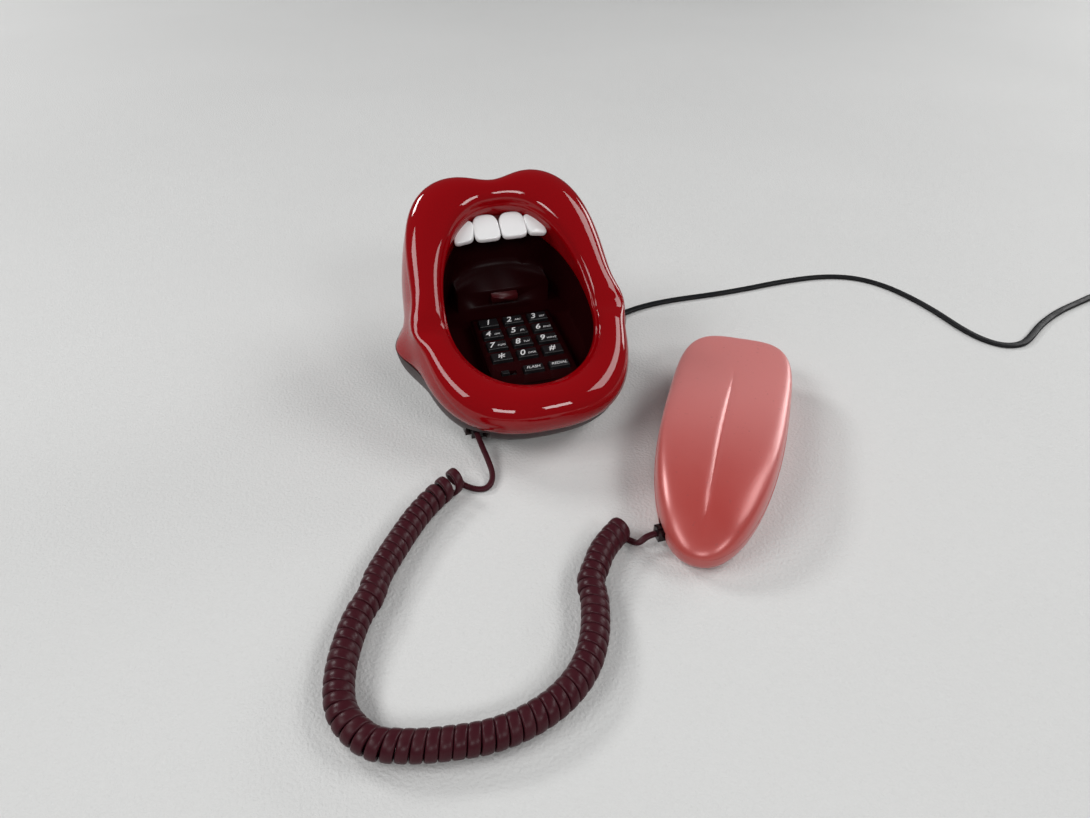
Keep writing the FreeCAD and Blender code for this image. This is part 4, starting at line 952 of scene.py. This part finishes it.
@dataclass
class Teeth:
    """Four plain teeth below the upper lip, on an arched strip of gum.

    The pillow gives each row of a tooth its scale and its share of the thickness. The gum has a first angle
    and a sweep in degrees, and its bevel a scale and a depth.
    """

    mouth: Lips
    front_width: float = 16.2
    side_width: float = 12.5
    front_height: float = 17.5
    side_height: float = 14.0
    gap: float = 0.4
    edge: float = 48.0
    side_edge: float = 49.0
    level: float = -9.0
    arch: float = 16.0
    turn: float = math.radians(14)
    side_lean: float = 3.2
    thickness: float = 5.0
    root_power: float = 2.9
    cut_power: float = 5.0
    pillow: tuple[tuple[float, float], ...] = (
        (0.9, 0.0), (1.0, 0.25), (1.0, 0.6), (0.975, 0.82),
        (0.93, 0.92), (0.84, 0.97), (0.6, 1.0), (0.3, 1.01),
    )
    gum_edge: float = 56.0
    gum_back: float = -11.5
    gum_front: float = -7.5
    gum_gap: float = 0.6
    gum_arc: tuple[float, float] = (52.0, 76.0)
    gum_steps: int = 24
    gum_band: float = 2.0
    gum_middle: float = 4.0
    gum_bevel: tuple[float, float] = (0.96, 1.0)
    spokes: int = 48

    def outline(self, angle: float, width: float, height: float) -> Vector:
        """Point on a tooth's outline: round at the gum, squarer at its cutting edge."""
        x, y = oval(angle, self.root_power if math.sin(angle) > 0 else self.cut_power)
        return Vector((width / 2 * x, height / 2 * y + height / 2, 0.0))

    def tooth(self, name: str, width: float, height: float, lean: float, place: Matrix) -> None:
        """Model one pillow-shaped tooth.

        Args:
            name: Name of the piece.
            width: Greatest width.
            height: From the cutting edge to the gum.
            lean: How far the top leans sideways.
            place: Where it stands in the mouth frame.
        """
        form = Form(name)
        turns = [2 * math.pi * spoke / self.spokes for spoke in range(self.spokes)]
        shape = [self.outline(turn, width, height) for turn in turns]
        middle = Vector((0.0, height / 2, 0.0))
        rows = []
        for scale, depth in self.pillow:
            row = [middle + (point - middle) * scale for point in shape]
            out = depth * self.thickness
            rows.append([point + Vector((lean * point.y / height, 0.0, out)) for point in row])
        form.solid(rows)
        piece = form.finish(self.mouth.frame_matrix @ place, 180.0)
        subdivide(piece, 1)
        ride(WARDROBE.dress(piece, Finish.TEETH), BASE, "upper_teeth")

    def gum(self) -> None:
        """Model the arched strip that carries the teeth, close to the throat of the lips."""
        form = Form("gum")
        start, sweep = self.gum_arc
        top = []
        for step in range(self.gum_steps + 1):
            angle = math.radians(start + sweep * step / self.gum_steps)
            radius = self.mouth.opening_radius(angle) - self.gum_gap
            top.append(Vector((radius * math.cos(angle), max(radius * math.sin(angle), self.gum_edge), 0.0)))
        low = [Vector((point.x, self.gum_edge - self.gum_band, 0.0)) for point in reversed(top)]
        shape = top + low
        middle = Vector((0.0, self.gum_edge + self.gum_middle, 0.0))
        inset, bevel = self.gum_bevel
        rows = []
        for scale, out in ((1.0, self.gum_back), (1.0, self.gum_front - bevel), (inset, self.gum_front)):
            rows.append([middle + (point - middle) * scale + Vector((0.0, 0.0, out)) for point in shape])
        form.solid(rows)
        ride(WARDROBE.dress(form.finish(self.mouth.frame_matrix), Finish.HOOK), BASE, "upper_teeth")

    def stand(self, x: float, edge: float) -> Matrix:
        """Place of a tooth on the arch, by the middle of its cutting edge."""
        return Matrix.Translation((x, edge, self.level - (x / self.arch) ** 2))

    def build(self) -> None:
        """Model the teeth and the gum."""
        for side, word in ((-1, "left"), (1, "right")):
            place = self.stand(side * self.front_width / 2, self.edge)
            self.tooth(f"front_tooth_{word}", self.front_width - self.gap, self.front_height, 0.0, place)
            place = self.stand(side * (self.front_width + self.side_width / 2), self.side_edge)
            place = place @ Matrix.Rotation(side * self.turn, 4, "Y")
            lean = -side * self.side_lean
            self.tooth(f"side_tooth_{word}", self.side_width - self.gap, self.side_height, lean, place)
        self.gum()


@dataclass
class Housing:
    """What the lips stand on and hold: tray, mouth liner and the pieces of the base."""

    moulded: tuple[tuple[str, str, Finish], ...] = (
        ("base_tray", BASE, Finish.TRAY), ("mouth_liner", BASE, Finish.LINER),
        ("hook_lever", "hook", Finish.HOOK), ("mode_switch_knob", "switch_knob", Finish.KEYS),
        ("rubber_feet", BASE, Finish.FEET), ("handset_jack", BASE, Finish.JACK),
        ("line_cord_grommet", BASE, Finish.FEET),
    )
    plain: tuple[tuple[str, Finish], ...] = (
        ("hook_switch", Finish.SWITCH), ("key_mat", Finish.MAT), ("main_board", Finish.BOARD),
        ("ballast_plate", Finish.BALLAST), ("ringer_disc", Finish.BRASS), ("case_screws", Finish.SCREW),
        ("board_screws", Finish.SCREW),
    )

    def build(self) -> None:
        """Dress the moulded pieces as smooth copies and the hidden pieces as they are."""
        for node, body, finish in self.moulded:
            ride(WARDROBE.dress(smooth_copy(node), finish), body, node)
        for node, finish in self.plain:
            WARDROBE.dress(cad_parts[node], finish)


@dataclass(frozen=True)
class Legend:
    """What is printed on one key, and where the key lies on the deck."""

    key: str
    sign: str
    letters: str
    column: int
    y: float


@dataclass
class Keypad:
    """Keys in the mouth with printed legends."""

    height: float = 42.0
    tilt: float = math.radians(8)
    columns: int = 3
    column_pitch: float = 15.3
    row_pitch: float = 10.7
    first_row: float = 2.6
    function_row: float = -42.9
    cap_top: float = 2.2
    ink: float = 0.03
    slant: float = 0.28
    sign_size: float = 6.4
    sign_bold: float = 0.06
    sign_aside: float = -2.6
    sign_rise: float = 0.2
    star_swell: float = 1.5
    letter_size: float = 2.0
    letter_spot: Point = (2.6, -0.9, 0.0)
    word_size: float = 2.9
    signs: str = "123456789*0#"
    letters: tuple[str, ...] = ("", "ABC", "DEF", "GHI", "JKL", "MNO", "PQRS", "TUV", "WXYZ", "", "OPER", "")

    def legends(self) -> list[Legend]:
        """List the dialling keys row by row from the back, then the two function keys.

        Returns:
            The keys' legends.
        """
        found = []
        for index, (sign, letters) in enumerate(zip(self.signs, self.letters)):
            row, column = divmod(index, self.columns)
            name = {"*": "star", "#": "hash"}.get(sign, sign)
            y = self.first_row - row * self.row_pitch
            found.append(Legend(f"key_{name}", sign, letters, column - 1, y))
        found.append(Legend("flash_key", "", "FLASH", 0, self.function_row))
        found.append(Legend("redial_key", "", "REDIAL", 1, self.function_row))
        return found

    def text(self, words: str, size: float, bold: float, place: Matrix) -> bpy.types.Mesh:
        """Turn words into a thin closed mesh in metres.

        Args:
            words: What is printed.
            size: Height of the type.
            bold: How much the strokes swell.
            place: Where the middle of the words goes.

        Returns:
            The mesh.
        """
        data = bpy.data.curves.new("type", "FONT")
        data.body = words
        data.size = size
        data.shear = self.slant
        data.offset = bold
        data.extrude = self.ink
        data.align_x = "CENTER"
        data.align_y = "CENTER"
        mesh = curve_mesh(data)
        middle = [(min(values) + max(values)) / 2 for values in zip(*(vertex.co for vertex in mesh.vertices))]
        mesh.transform(Matrix.Scale(MM, 4) @ place @ Matrix.Translation((-middle[0], -middle[1], 0.0)))
        return mesh

    def print_key(self, legend: Legend) -> None:
        """Print one key.

        Args:
            legend: What is printed, and where.
        """
        deck = Matrix.Translation((0.0, 0.0, self.height)) @ Matrix.Rotation(self.tilt, 4, "X")
        key = deck @ Matrix.Translation((legend.column * self.column_pitch, legend.y, self.cap_top))
        prints = []
        if legend.sign:
            size = self.sign_size * (self.star_swell if legend.sign == "*" else 1.0)
            aside = self.sign_aside if legend.letters else 0.0
            prints.append(("sign", legend.sign, size, self.sign_bold, (aside, self.sign_rise, 0.0)))
        if legend.sign and legend.letters:
            prints.append(("letters", legend.letters, self.letter_size, 0.0, self.letter_spot))
        elif legend.letters:
            prints.append(("word", legend.letters, self.word_size, 0.0, (0.0, 0.0, 0.0)))
        for kind, words, size, bold, spot in prints:
            mesh = self.text(words, size, bold, key @ Matrix.Translation(spot))
            piece = link(f"{legend.key}_{kind}", mesh)
            ride(WARDROBE.dress(piece, Finish.INK), legend.key + "_body")

    def build(self) -> None:
        """Dress and print the keys."""
        for legend in self.legends():
            ride(WARDROBE.dress(smooth_copy(legend.key), Finish.KEYS), legend.key + "_body", legend.key)
            self.print_key(legend)


@dataclass
class Handset:
    """Tongue handset: a creased upper shell on a deeper lower shell, and the pieces inside.

    The ear and the tip of the outline have a reach and a power. Ledges and seams have a width at the tip and
    at the ear. The crown has a half width, a half length and a middle.
    """

    place: Matrix = field(default_factory=lambda: (
        Matrix.Translation((83.7, -115.4, 0.0)) @ Matrix.Rotation(HANDSET_HEADING, 4, "Z")))
    half_width: float = 34.5
    centre: float = 30.0
    ear: tuple[float, float] = (71.0, 3.8)
    tip: tuple[float, float] = (111.5, 2.2)
    ledges: tuple[float, float] = (0.05, 0.8)
    seams: tuple[float, float] = (0.06, 0.5)
    parting: float = 16.5
    parting_slope: float = math.tan(math.radians(4.35))
    height: float = 29.3
    fall: float = math.tan(math.radians(1))
    tip_drop: float = 9.0
    crown: Point = (4.0, 60.0, 15.0)
    side_power: float = 4.4
    tip_power: float = 1.8
    tip_ease: int = 3
    crease_depth: float = 2.3
    crease_half_length: float = 70.0
    crease_centre: float = -7.0
    crease_spread: float = 2.2
    wall: float = 2.0
    sharp: float = 30.0
    spokes: int = 256
    fine_steps: int = 3000
    turn_step: int = 3
    crown_rows: int = 8
    wall_rows: int = 6
    moulded: tuple[tuple[str, Finish], ...] = (
        ("handset_bottom", Finish.TONGUE), ("handset_cord_jack", Finish.JACK),
    )
    plain: tuple[tuple[str, Finish], ...] = (
        ("receiver_gasket", Finish.FEET), ("receiver_capsule", Finish.CAPSULE),
        ("microphone_boot", Finish.FEET), ("microphone_capsule", Finish.CAPSULE),
        ("handset_screws", Finish.SCREW),
    )

    def outline(self, angle: float) -> Vector:
        """Point on the outline: a boxy ear end and a long oval tip.

        Args:
            angle: Direction from the middle, in radians.

        Returns:
            The point, at z = 0.
        """
        reach, power = self.ear if math.sin(angle) > 0 else self.tip
        x, y = oval(angle, power)
        return Vector((self.half_width * x, self.centre + reach * y, 0.0))

    def angles(self) -> list[float]:
        """Angles whose points lie evenly along one side of the outline, mirrored to the other.

        Returns:
            The angles in radians.
        """
        count = self.fine_steps
        fine = [math.pi * (step / count - 0.5) for step in range(count + 1)]
        reach = [0.0]
        for first, second in zip(fine, fine[1:]):
            reach.append(reach[-1] + (self.outline(second) - self.outline(first)).length)
        half = self.spokes // 2
        picked, index = [], 0
        for step in range(half + 1):
            goal = reach[-1] * step / half
            while index < len(fine) - 1 and reach[index] < goal:
                index += 1
            picked.append(fine[index])
        return picked + [math.pi - angle for angle in reversed(picked[1:-1])]

    def crease(self, x: float, y: float) -> float:
        """Depth of the crease, sharp along its middle and soft at its shoulders."""
        fade = max(0.0, 1.0 - ((y - self.crease_centre) / self.crease_half_length) ** 2)
        return self.crease_depth * fade * math.exp(-abs(x) / self.crease_spread)

    def top_height(self, y: float) -> float:
        """Height of the flat top, which sinks towards the tip."""
        low = self.tip[0] - self.centre
        return self.height - y * self.fall - self.tip_drop * max(0.0, -y / low) ** 2

    def crown_point(self, angle: float, share: float) -> Vector:
        """Point of the ring at the top of the crown, drawn in to its middle line by share."""
        half_width, half_length, centre = self.crown
        return Vector((half_width * share * math.cos(angle), centre + half_length * math.sin(angle), 0.0))

    def top_section(self, angle: float) -> list[Vector]:
        """Section of the upper shell from its seam over the rolled edge into the crease.

        Args:
            angle: Direction from the middle, in radians.

        Returns:
            The section's points.
        """
        ring = self.crown_point(angle, 1.0)
        reach = self.outline(angle) - ring
        towards_ear = (1 + math.sin(angle)) / 2
        ledge, seam = (tip + (ear - tip) * towards_ear for tip, ear in (self.ledges, self.seams))
        reach *= (reach.length - ledge) / reach.length
        at_tip = max(0.0, -math.sin(angle)) ** self.tip_ease
        power = 2 / (self.side_power + (self.tip_power - self.side_power) * at_tip)
        points = []
        tucked = ring + reach * ((reach.length - seam) / reach.length)
        points.append(tucked + Vector((0.0, 0.0, self.parting + tucked.y * self.parting_slope)))
        for turn in range(0, 91, self.turn_step):
            slope = math.radians(turn)
            point = ring + reach * math.cos(slope) ** power
            low = self.parting + point.y * self.parting_slope + seam * math.cos(slope)
            high = self.top_height(point.y)
            point.z = low + (high - low) * math.sin(slope) ** power
            points.append(point)
        for step in reversed(range(self.crown_rows)):
            point = self.crown_point(angle, step / self.crown_rows)
            point.z = self.top_height(point.y)
            points.append(point)
        for point in points[self.wall_rows:]:
            point.z -= self.crease(point.x, point.y)
        return points

    def build(self) -> None:
        """Model the upper shell, and dress the rest."""
        form = Form("tongue_top")
        sections = [self.top_section(angle) for angle in self.angles()]
        form.loft(list(zip(*sections)))
        form.weld()
        piece = form.finish(self.place, self.sharp)
        thicken(piece, self.wall)
        ride(WARDROBE.dress(piece, Finish.TONGUE), HANDSET, "handset_top")
        for node, finish in self.moulded:
            ride(WARDROBE.dress(smooth_copy(node), finish), HANDSET, node)
        for node, finish in self.plain:
            WARDROBE.dress(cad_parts[node], finish)


class Route:
    """A smooth line read from a NURBS spline, measured along its length."""

    def __init__(self, controls: Sequence[Point], resolution: int = 12) -> None:
        """Read the line.

        Args:
            controls: Control points of the spline, in millimetres.
            resolution: Points read for each control point.
        """
        data = bpy.data.curves.new("route", "CURVE")
        data.dimensions = "3D"
        spline = data.splines.new("NURBS")
        spline.points.add(len(controls) - 1)
        for control, place in zip(spline.points, controls):
            control.co = (*place, 1.0)
        spline.order_u = 3
        spline.use_endpoint_u = True
        data.resolution_u = resolution
        mesh = curve_mesh(data)
        self.points = [vertex.co.copy() for vertex in mesh.vertices]
        bpy.data.meshes.remove(mesh)
        self.marks = [0.0]
        for first, second in zip(self.points, self.points[1:]):
            self.marks.append(self.marks[-1] + (second - first).length)
        last = len(self.points) - 1
        self.ways = [
            (self.points[min(index + 1, last)] - self.points[max(index - 1, 0)]).normalized()
            for index in range(last + 1)
        ]

    @property
    def length(self) -> float:
        """Length of the whole line."""
        return self.marks[-1]

    def at(self, distance: float) -> tuple[Vector, Vector]:
        """Point and direction at a distance along the line.

        Args:
            distance: From the start, in millimetres.

        Returns:
            The point and the direction.
        """
        index = min(max(bisect.bisect_right(self.marks, distance) - 1, 0), len(self.marks) - 2)
        share = (distance - self.marks[index]) / (self.marks[index + 1] - self.marks[index])
        return (self.points[index].lerp(self.points[index + 1], share),
                self.ways[index].lerp(self.ways[index + 1], share).normalized())


@dataclass(frozen=True)
class Slice:
    """One section across a cord: its middle, and its two half axes."""

    middle: Vector
    wide: Vector
    thin: Vector

    def ring(self, count: int, power: float) -> list[Vector]:
        """Points round the section.

        Args:
            count: Number of points.
            power: 2 is an oval, more is boxier.

        Returns:
            The points.
        """
        points = []
        for step in range(count):
            across, up = oval(2 * math.pi * step / count, power)
            points.append(self.middle + self.wide * across + self.thin * up)
        return points


def lying(route: Route, width: float, thickness: float) -> list[Slice]:
    """Sections of a flat cord that lies on its broad side.

    Args:
        route: The cord's middle line.
        width: Full width.
        thickness: Full thickness.

    Returns:
        One section for each point of the line.
    """
    slices = []
    for point, way in zip(route.points, route.ways):
        wide = Vector((-way.y, way.x, 0.0)).normalized()
        slices.append(Slice(point, wide * (width / 2), way.cross(wide) * (thickness / 2)))
    return slices


def tube(name: str, slices: Sequence[Slice], count: int, power: float) -> bpy.types.Object:
    """Loft a closed cord through its sections.

    Args:
        name: Name of the piece.
        slices: The sections in order.
        count: Points round each section.
        power: 2 is an oval, more is boxier.

    Returns:
        The new object.
    """
    form = Form(name)
    form.solid([section.ring(count, power) for section in slices])
    return form.finish(sharp=70.0)


@dataclass
class CurlyCord:
    """Handset cord: a flat cord wound into tight curls, with a lead to the plug at each end."""

    route: tuple[tuple[float, float], ...] = (
        (-54, -88), (-68, -98), (-82, -112), (-95, -130), (-107, -148), (-117, -166), (-125, -184),
        (-130, -202), (-130, -218), (-121, -231), (-107, -238), (-92, -241), (-76, -243), (-60, -241),
        (-44, -235), (-30, -224), (-20, -208), (-14, -190), (-8, -173), (1, -159), (14, -150),
    )
    base_lead: tuple[Point, ...] = (
        (-38, -58, 9.6), (-38, -66, 9.2), (-36.5, -77, 5.5), (-36, -88, 2.2),
        (-41, -96.5, 1.4), (-49.4, -94.5, 1.4),
    )
    hand_lead: tuple[Point, ...] = (
        (18.2, -156.1, 1.4), (19.6, -160, 4.2), (24, -158.8, 6.6), (29, -158.5, 6.7),
    )
    axis_height: float = 6.7
    curl_radius: float = 5.4
    curls: int = 66
    band: float = 5.1
    thickness: float = 2.4
    lead_width: float = 3.2
    steps: int = 28
    length: float = 2.3
    slack: float = 2.0
    slack_curls: float = 2.0
    kinks: tuple[tuple[float, float], ...] = ((15.5, 1.6), (31.0, -1.0), (58.5, 2.0))
    kink_curls: float = 1.5
    section: tuple[int, float] = (12, 3.2)

    def spent(self, curl: float) -> float:
        """Share of the line used up after some curls, of which the first are drawn out."""
        return curl + self.slack * (1 - math.exp(-curl / self.slack_curls))

    def curl_slices(self, line: Route) -> list[Slice]:
        """Sections along the curls, starting and ending below the axis.

        Args:
            line: Axis of the curls.

        Returns:
            The sections in order.
        """
        slices = []
        around = 2 * math.pi * self.curl_radius
        for step in range(self.curls * self.steps + 1):
            curl = step / self.steps
            middle, way = line.at(line.length * self.spent(curl) / self.spent(self.curls))
            side = Vector((-way.y, way.x, 0.0))
            bends = ((shift, (curl - place) / self.kink_curls) for place, shift in self.kinks)
            middle = middle + side * sum(shift * math.exp(-away ** 2) for shift, away in bends)
            pitch = line.length * (self.spent(curl + 0.5) - self.spent(curl - 0.5)) / self.spent(self.curls)
            turn = -math.pi / 2 - 2 * math.pi * step / self.steps
            across = side * math.cos(turn) + Vector((0.0, 0.0, math.sin(turn)))
            forward = side * math.sin(turn) - Vector((0.0, 0.0, math.cos(turn)))
            wide = (way * around - forward * pitch).normalized()
            slices.append(Slice(middle + across * self.curl_radius, wide * (self.band / 2),
                                across * (-self.thickness / 2)))
        return slices

    def build(self) -> None:
        """Model the cord in one piece, and dress its plugs."""
        line = Route([(x, y, self.axis_height) for x, y in self.route])
        curls = self.curl_slices(line)
        start = lying(Route([*self.base_lead, tuple(curls[0].middle)]), self.lead_width, self.thickness)
        end = lying(Route([tuple(curls[-1].middle), *self.hand_lead]), self.lead_width, self.thickness)
        slices = start[:-1] + curls + end[1:]
        piece = tube("curled_cord", slices, *self.section)
        WARDROBE.dress(piece, Finish.CURL)
        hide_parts("curly_cord")
        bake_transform(piece)
        plugs = [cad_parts["cord_base_plug"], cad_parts["cord_handset_plug"]]
        [tuple(section.middle * MM) for section in slices]
        for plug in plugs:
            WARDROBE.dress(plug, Finish.PLUG)
        LOG.info("curled cord of %d curls", self.curls)


@dataclass
class LineCord:
    """Flat line cord: across the table, then put away in a tied coil, with its plug."""

    exit: Point = (51.3, 32.1, 8.6)
    start: Point = (46.2, 28.9, 8.6)
    low: float = 1.2
    route: tuple[Point, ...] = (
        (60.2, 37.6, 7.4), (68, 42.6, 5.4), (80, 51, 1.2), (95, 60, 0), (114, 66, 0), (138, 68.5, 0),
        (166, 67.5, 0), (195, 68, 0), (228, 71, 0), (262, 70.5, 0), (286, 62, 0), (301, 44, 0), (309, 20, 0),
        (313, -5, 0), (314, -26, 0), (317.5, -43, 0), (325.5, -55, 0), (338.5, -58, 0), (351.5, -52, 0),
        (371, -39.5, 0), (397, -28, 0), (423, -21, 0), (444, -15.5, 0.3), (460, -12.8, 0.8),
    )
    coil_middle: tuple[float, float] = (474.0, -49.5)
    coil_low: float = 2.0
    coil_outer: float = 37.0
    coil_step: float = 5.6
    coil_layer: float = 2.9
    turns: int = 4
    points_per_turn: int = 16
    plug_lead: tuple[Point, ...] = ((486, -12.2, 4.7), (494, -11, 3.5), (500, -11, 3.3))
    width: float = 5.0
    thickness: float = 2.4
    length: float = 1.86
    climb: float = 0.5
    resolution: int = 6
    section: tuple[int, float] = (14, 3.4)

    def coil_point(self, progress: float) -> Point:
        """Point of the coil after some turns: spiral in, climb a layer, spiral out.

        Args:
            progress: Number of turns from the start.

        Returns:
            The point.
        """
        radius = self.coil_outer - self.coil_step * min(progress, 2 * self.turns - progress)
        climbed = min(max((progress - self.turns + self.climb / 2) / self.climb, 0.0), 1.0)
        turn = math.pi / 2 - progress * 2 * math.pi
        x, y = self.coil_middle
        z = self.coil_low + climbed * self.coil_layer
        return (x + radius * math.cos(turn), y + radius * math.sin(turn), z)

    def build(self) -> None:
        """Model the cord in one piece, and dress its plug and tie."""
        controls = [self.start] + [(x, y, self.low + lift) for x, y, lift in self.route]
        for step in range(2 * self.turns * self.points_per_turn + 1):
            controls.append(self.coil_point(step / self.points_per_turn))
        line = Route(controls + list(self.plug_lead), self.resolution)
        slices = lying(line, self.width, self.thickness)
        piece = tube("line_lead", slices, *self.section)
        ride(WARDROBE.dress(piece, Finish.LEAD), BASE, "line_cord", "line_cord_coil")
        for node, finish in (("line_plug", Finish.PLUG), ("cord_tie", Finish.FEET)):
            WARDROBE.dress(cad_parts[node], finish)
        [tuple(section.middle * MM) for section in slices]


@dataclass(frozen=True)
class Lamp:
    """A soft rectangular lamp, with lengths in millimetres and its power in watts."""

    name: str
    place: Point
    target: Point
    size: tuple[float, float]
    power: float

    def hang(self) -> None:
        """Put the lamp in the scene."""
        data = bpy.data.lights.new(self.name, "AREA")
        data.shape = "RECTANGLE"
        data.size, data.size_y = self.size[0] * MM, self.size[1] * MM
        data.energy = self.power
        lamp = link(self.name, data)
        lamp.location = Vector(self.place) * MM
        lamp.rotation_euler = (Vector(self.target) - Vector(self.place)).to_track_quat("-Z", "Y").to_euler()


@dataclass
class Studio:
    """Pale floor, soft lamps and the camera."""

    eye: Point = (-109.9, -429.1, 300.0)
    heading: float = math.radians(-16.8)
    pitch: float = math.radians(36)
    focal_pixels: float = 840.0
    frame_pixels: float = 1090.0
    sensor_width: float = 36.0
    near: float = 0.01
    floor_half: float = 3000.0
    floor_colours: tuple[Colour, Colour] = ((0.64, 0.64, 0.63), (0.70, 0.70, 0.69))
    sky_colour: tuple[float, ...] = (0.92, 0.95, 1.0, 1.0)
    sky_strength: float = 0.1
    lamps: tuple[Lamp, ...] = (
        Lamp("left_panel", (-1500, -200, 1500), (0, -60, 40), (1300, 620), 17),
        Lamp("right_panel", (1500, -200, 1450), (40, -60, 40), (1300, 620), 13.5),
        Lamp("rear_left_panel", (-1530, 2090, 1690), (-200, 900, 0), (1000, 500), 34),
        Lamp("low_right_panel", (2070, 780, 760), (60, 100, 20), (900, 500), 10),
        Lamp("front_left", (-700, -1700, 1250), (0, -60, 40), (640, 400), 8.5),
        Lamp("front_right", (650, -1700, 1250), (0, -60, 40), (640, 400), 8.5),
    )

    def camera(self) -> None:
        """Place the camera at the photograph's viewpoint."""
        data = bpy.data.cameras.new("camera")
        data.sensor_width = self.sensor_width
        data.lens = self.sensor_width * self.focal_pixels / self.frame_pixels
        data.clip_start = self.near
        camera = link("camera", data)
        camera.location = Vector(self.eye) * MM
        camera.rotation_euler = (math.pi / 2 - self.pitch, 0.0, self.heading)
        bpy.context.scene.camera = camera

    def floor(self) -> None:
        """Lay the pale floor."""
        form = Form("floor")
        half = self.floor_half
        ring = form.ring([Vector((x * half, y * half, 0.0)) for x, y in ((-1, -1), (1, -1), (1, 1), (-1, 1))])
        form.cap(ring)
        piece = form.finish()
        shader = Shader("floor")
        blotch = shader.noise(scale=3.0, detail=3.0)
        grain = shader.noise(scale=600.0, detail=4.0)
        piece.data.materials.append(shader.surface({
            "Base Color": shader.mix(blotch, *self.floor_colours),
            "Roughness": 0.75,
            "Specular IOR Level": 0.25,
            "Normal": shader.bump(grain, strength=0.5, distance=0.0012),
        }))

    def build(self) -> None:
        """Set up floor, lamps, world and camera."""
        scene = bpy.context.scene
        scene.view_settings.view_transform = "Standard"
        world = bpy.data.worlds.new("studio")
        world.use_nodes = True
        sky = world.node_tree.nodes["Background"]
        sky.inputs[0].default_value = self.sky_colour
        sky.inputs[1].default_value = self.sky_strength
        scene.world = world
        self.floor()
        for lamp in self.lamps:
            lamp.hang()
        self.camera()


def main() -> None:
    """Build every sub-assembly in order."""
    logging.basicConfig(level=logging.INFO, format="%(name)s: %(message)s")
    lips = Lips()
    for part in (lips, Teeth(lips), Housing(), Keypad(), Handset(), CurlyCord(), LineCord(), Studio()):
        part.build()
        LOG.info("%s done", type(part).__name__)


if __name__ == "__main__":
    main()
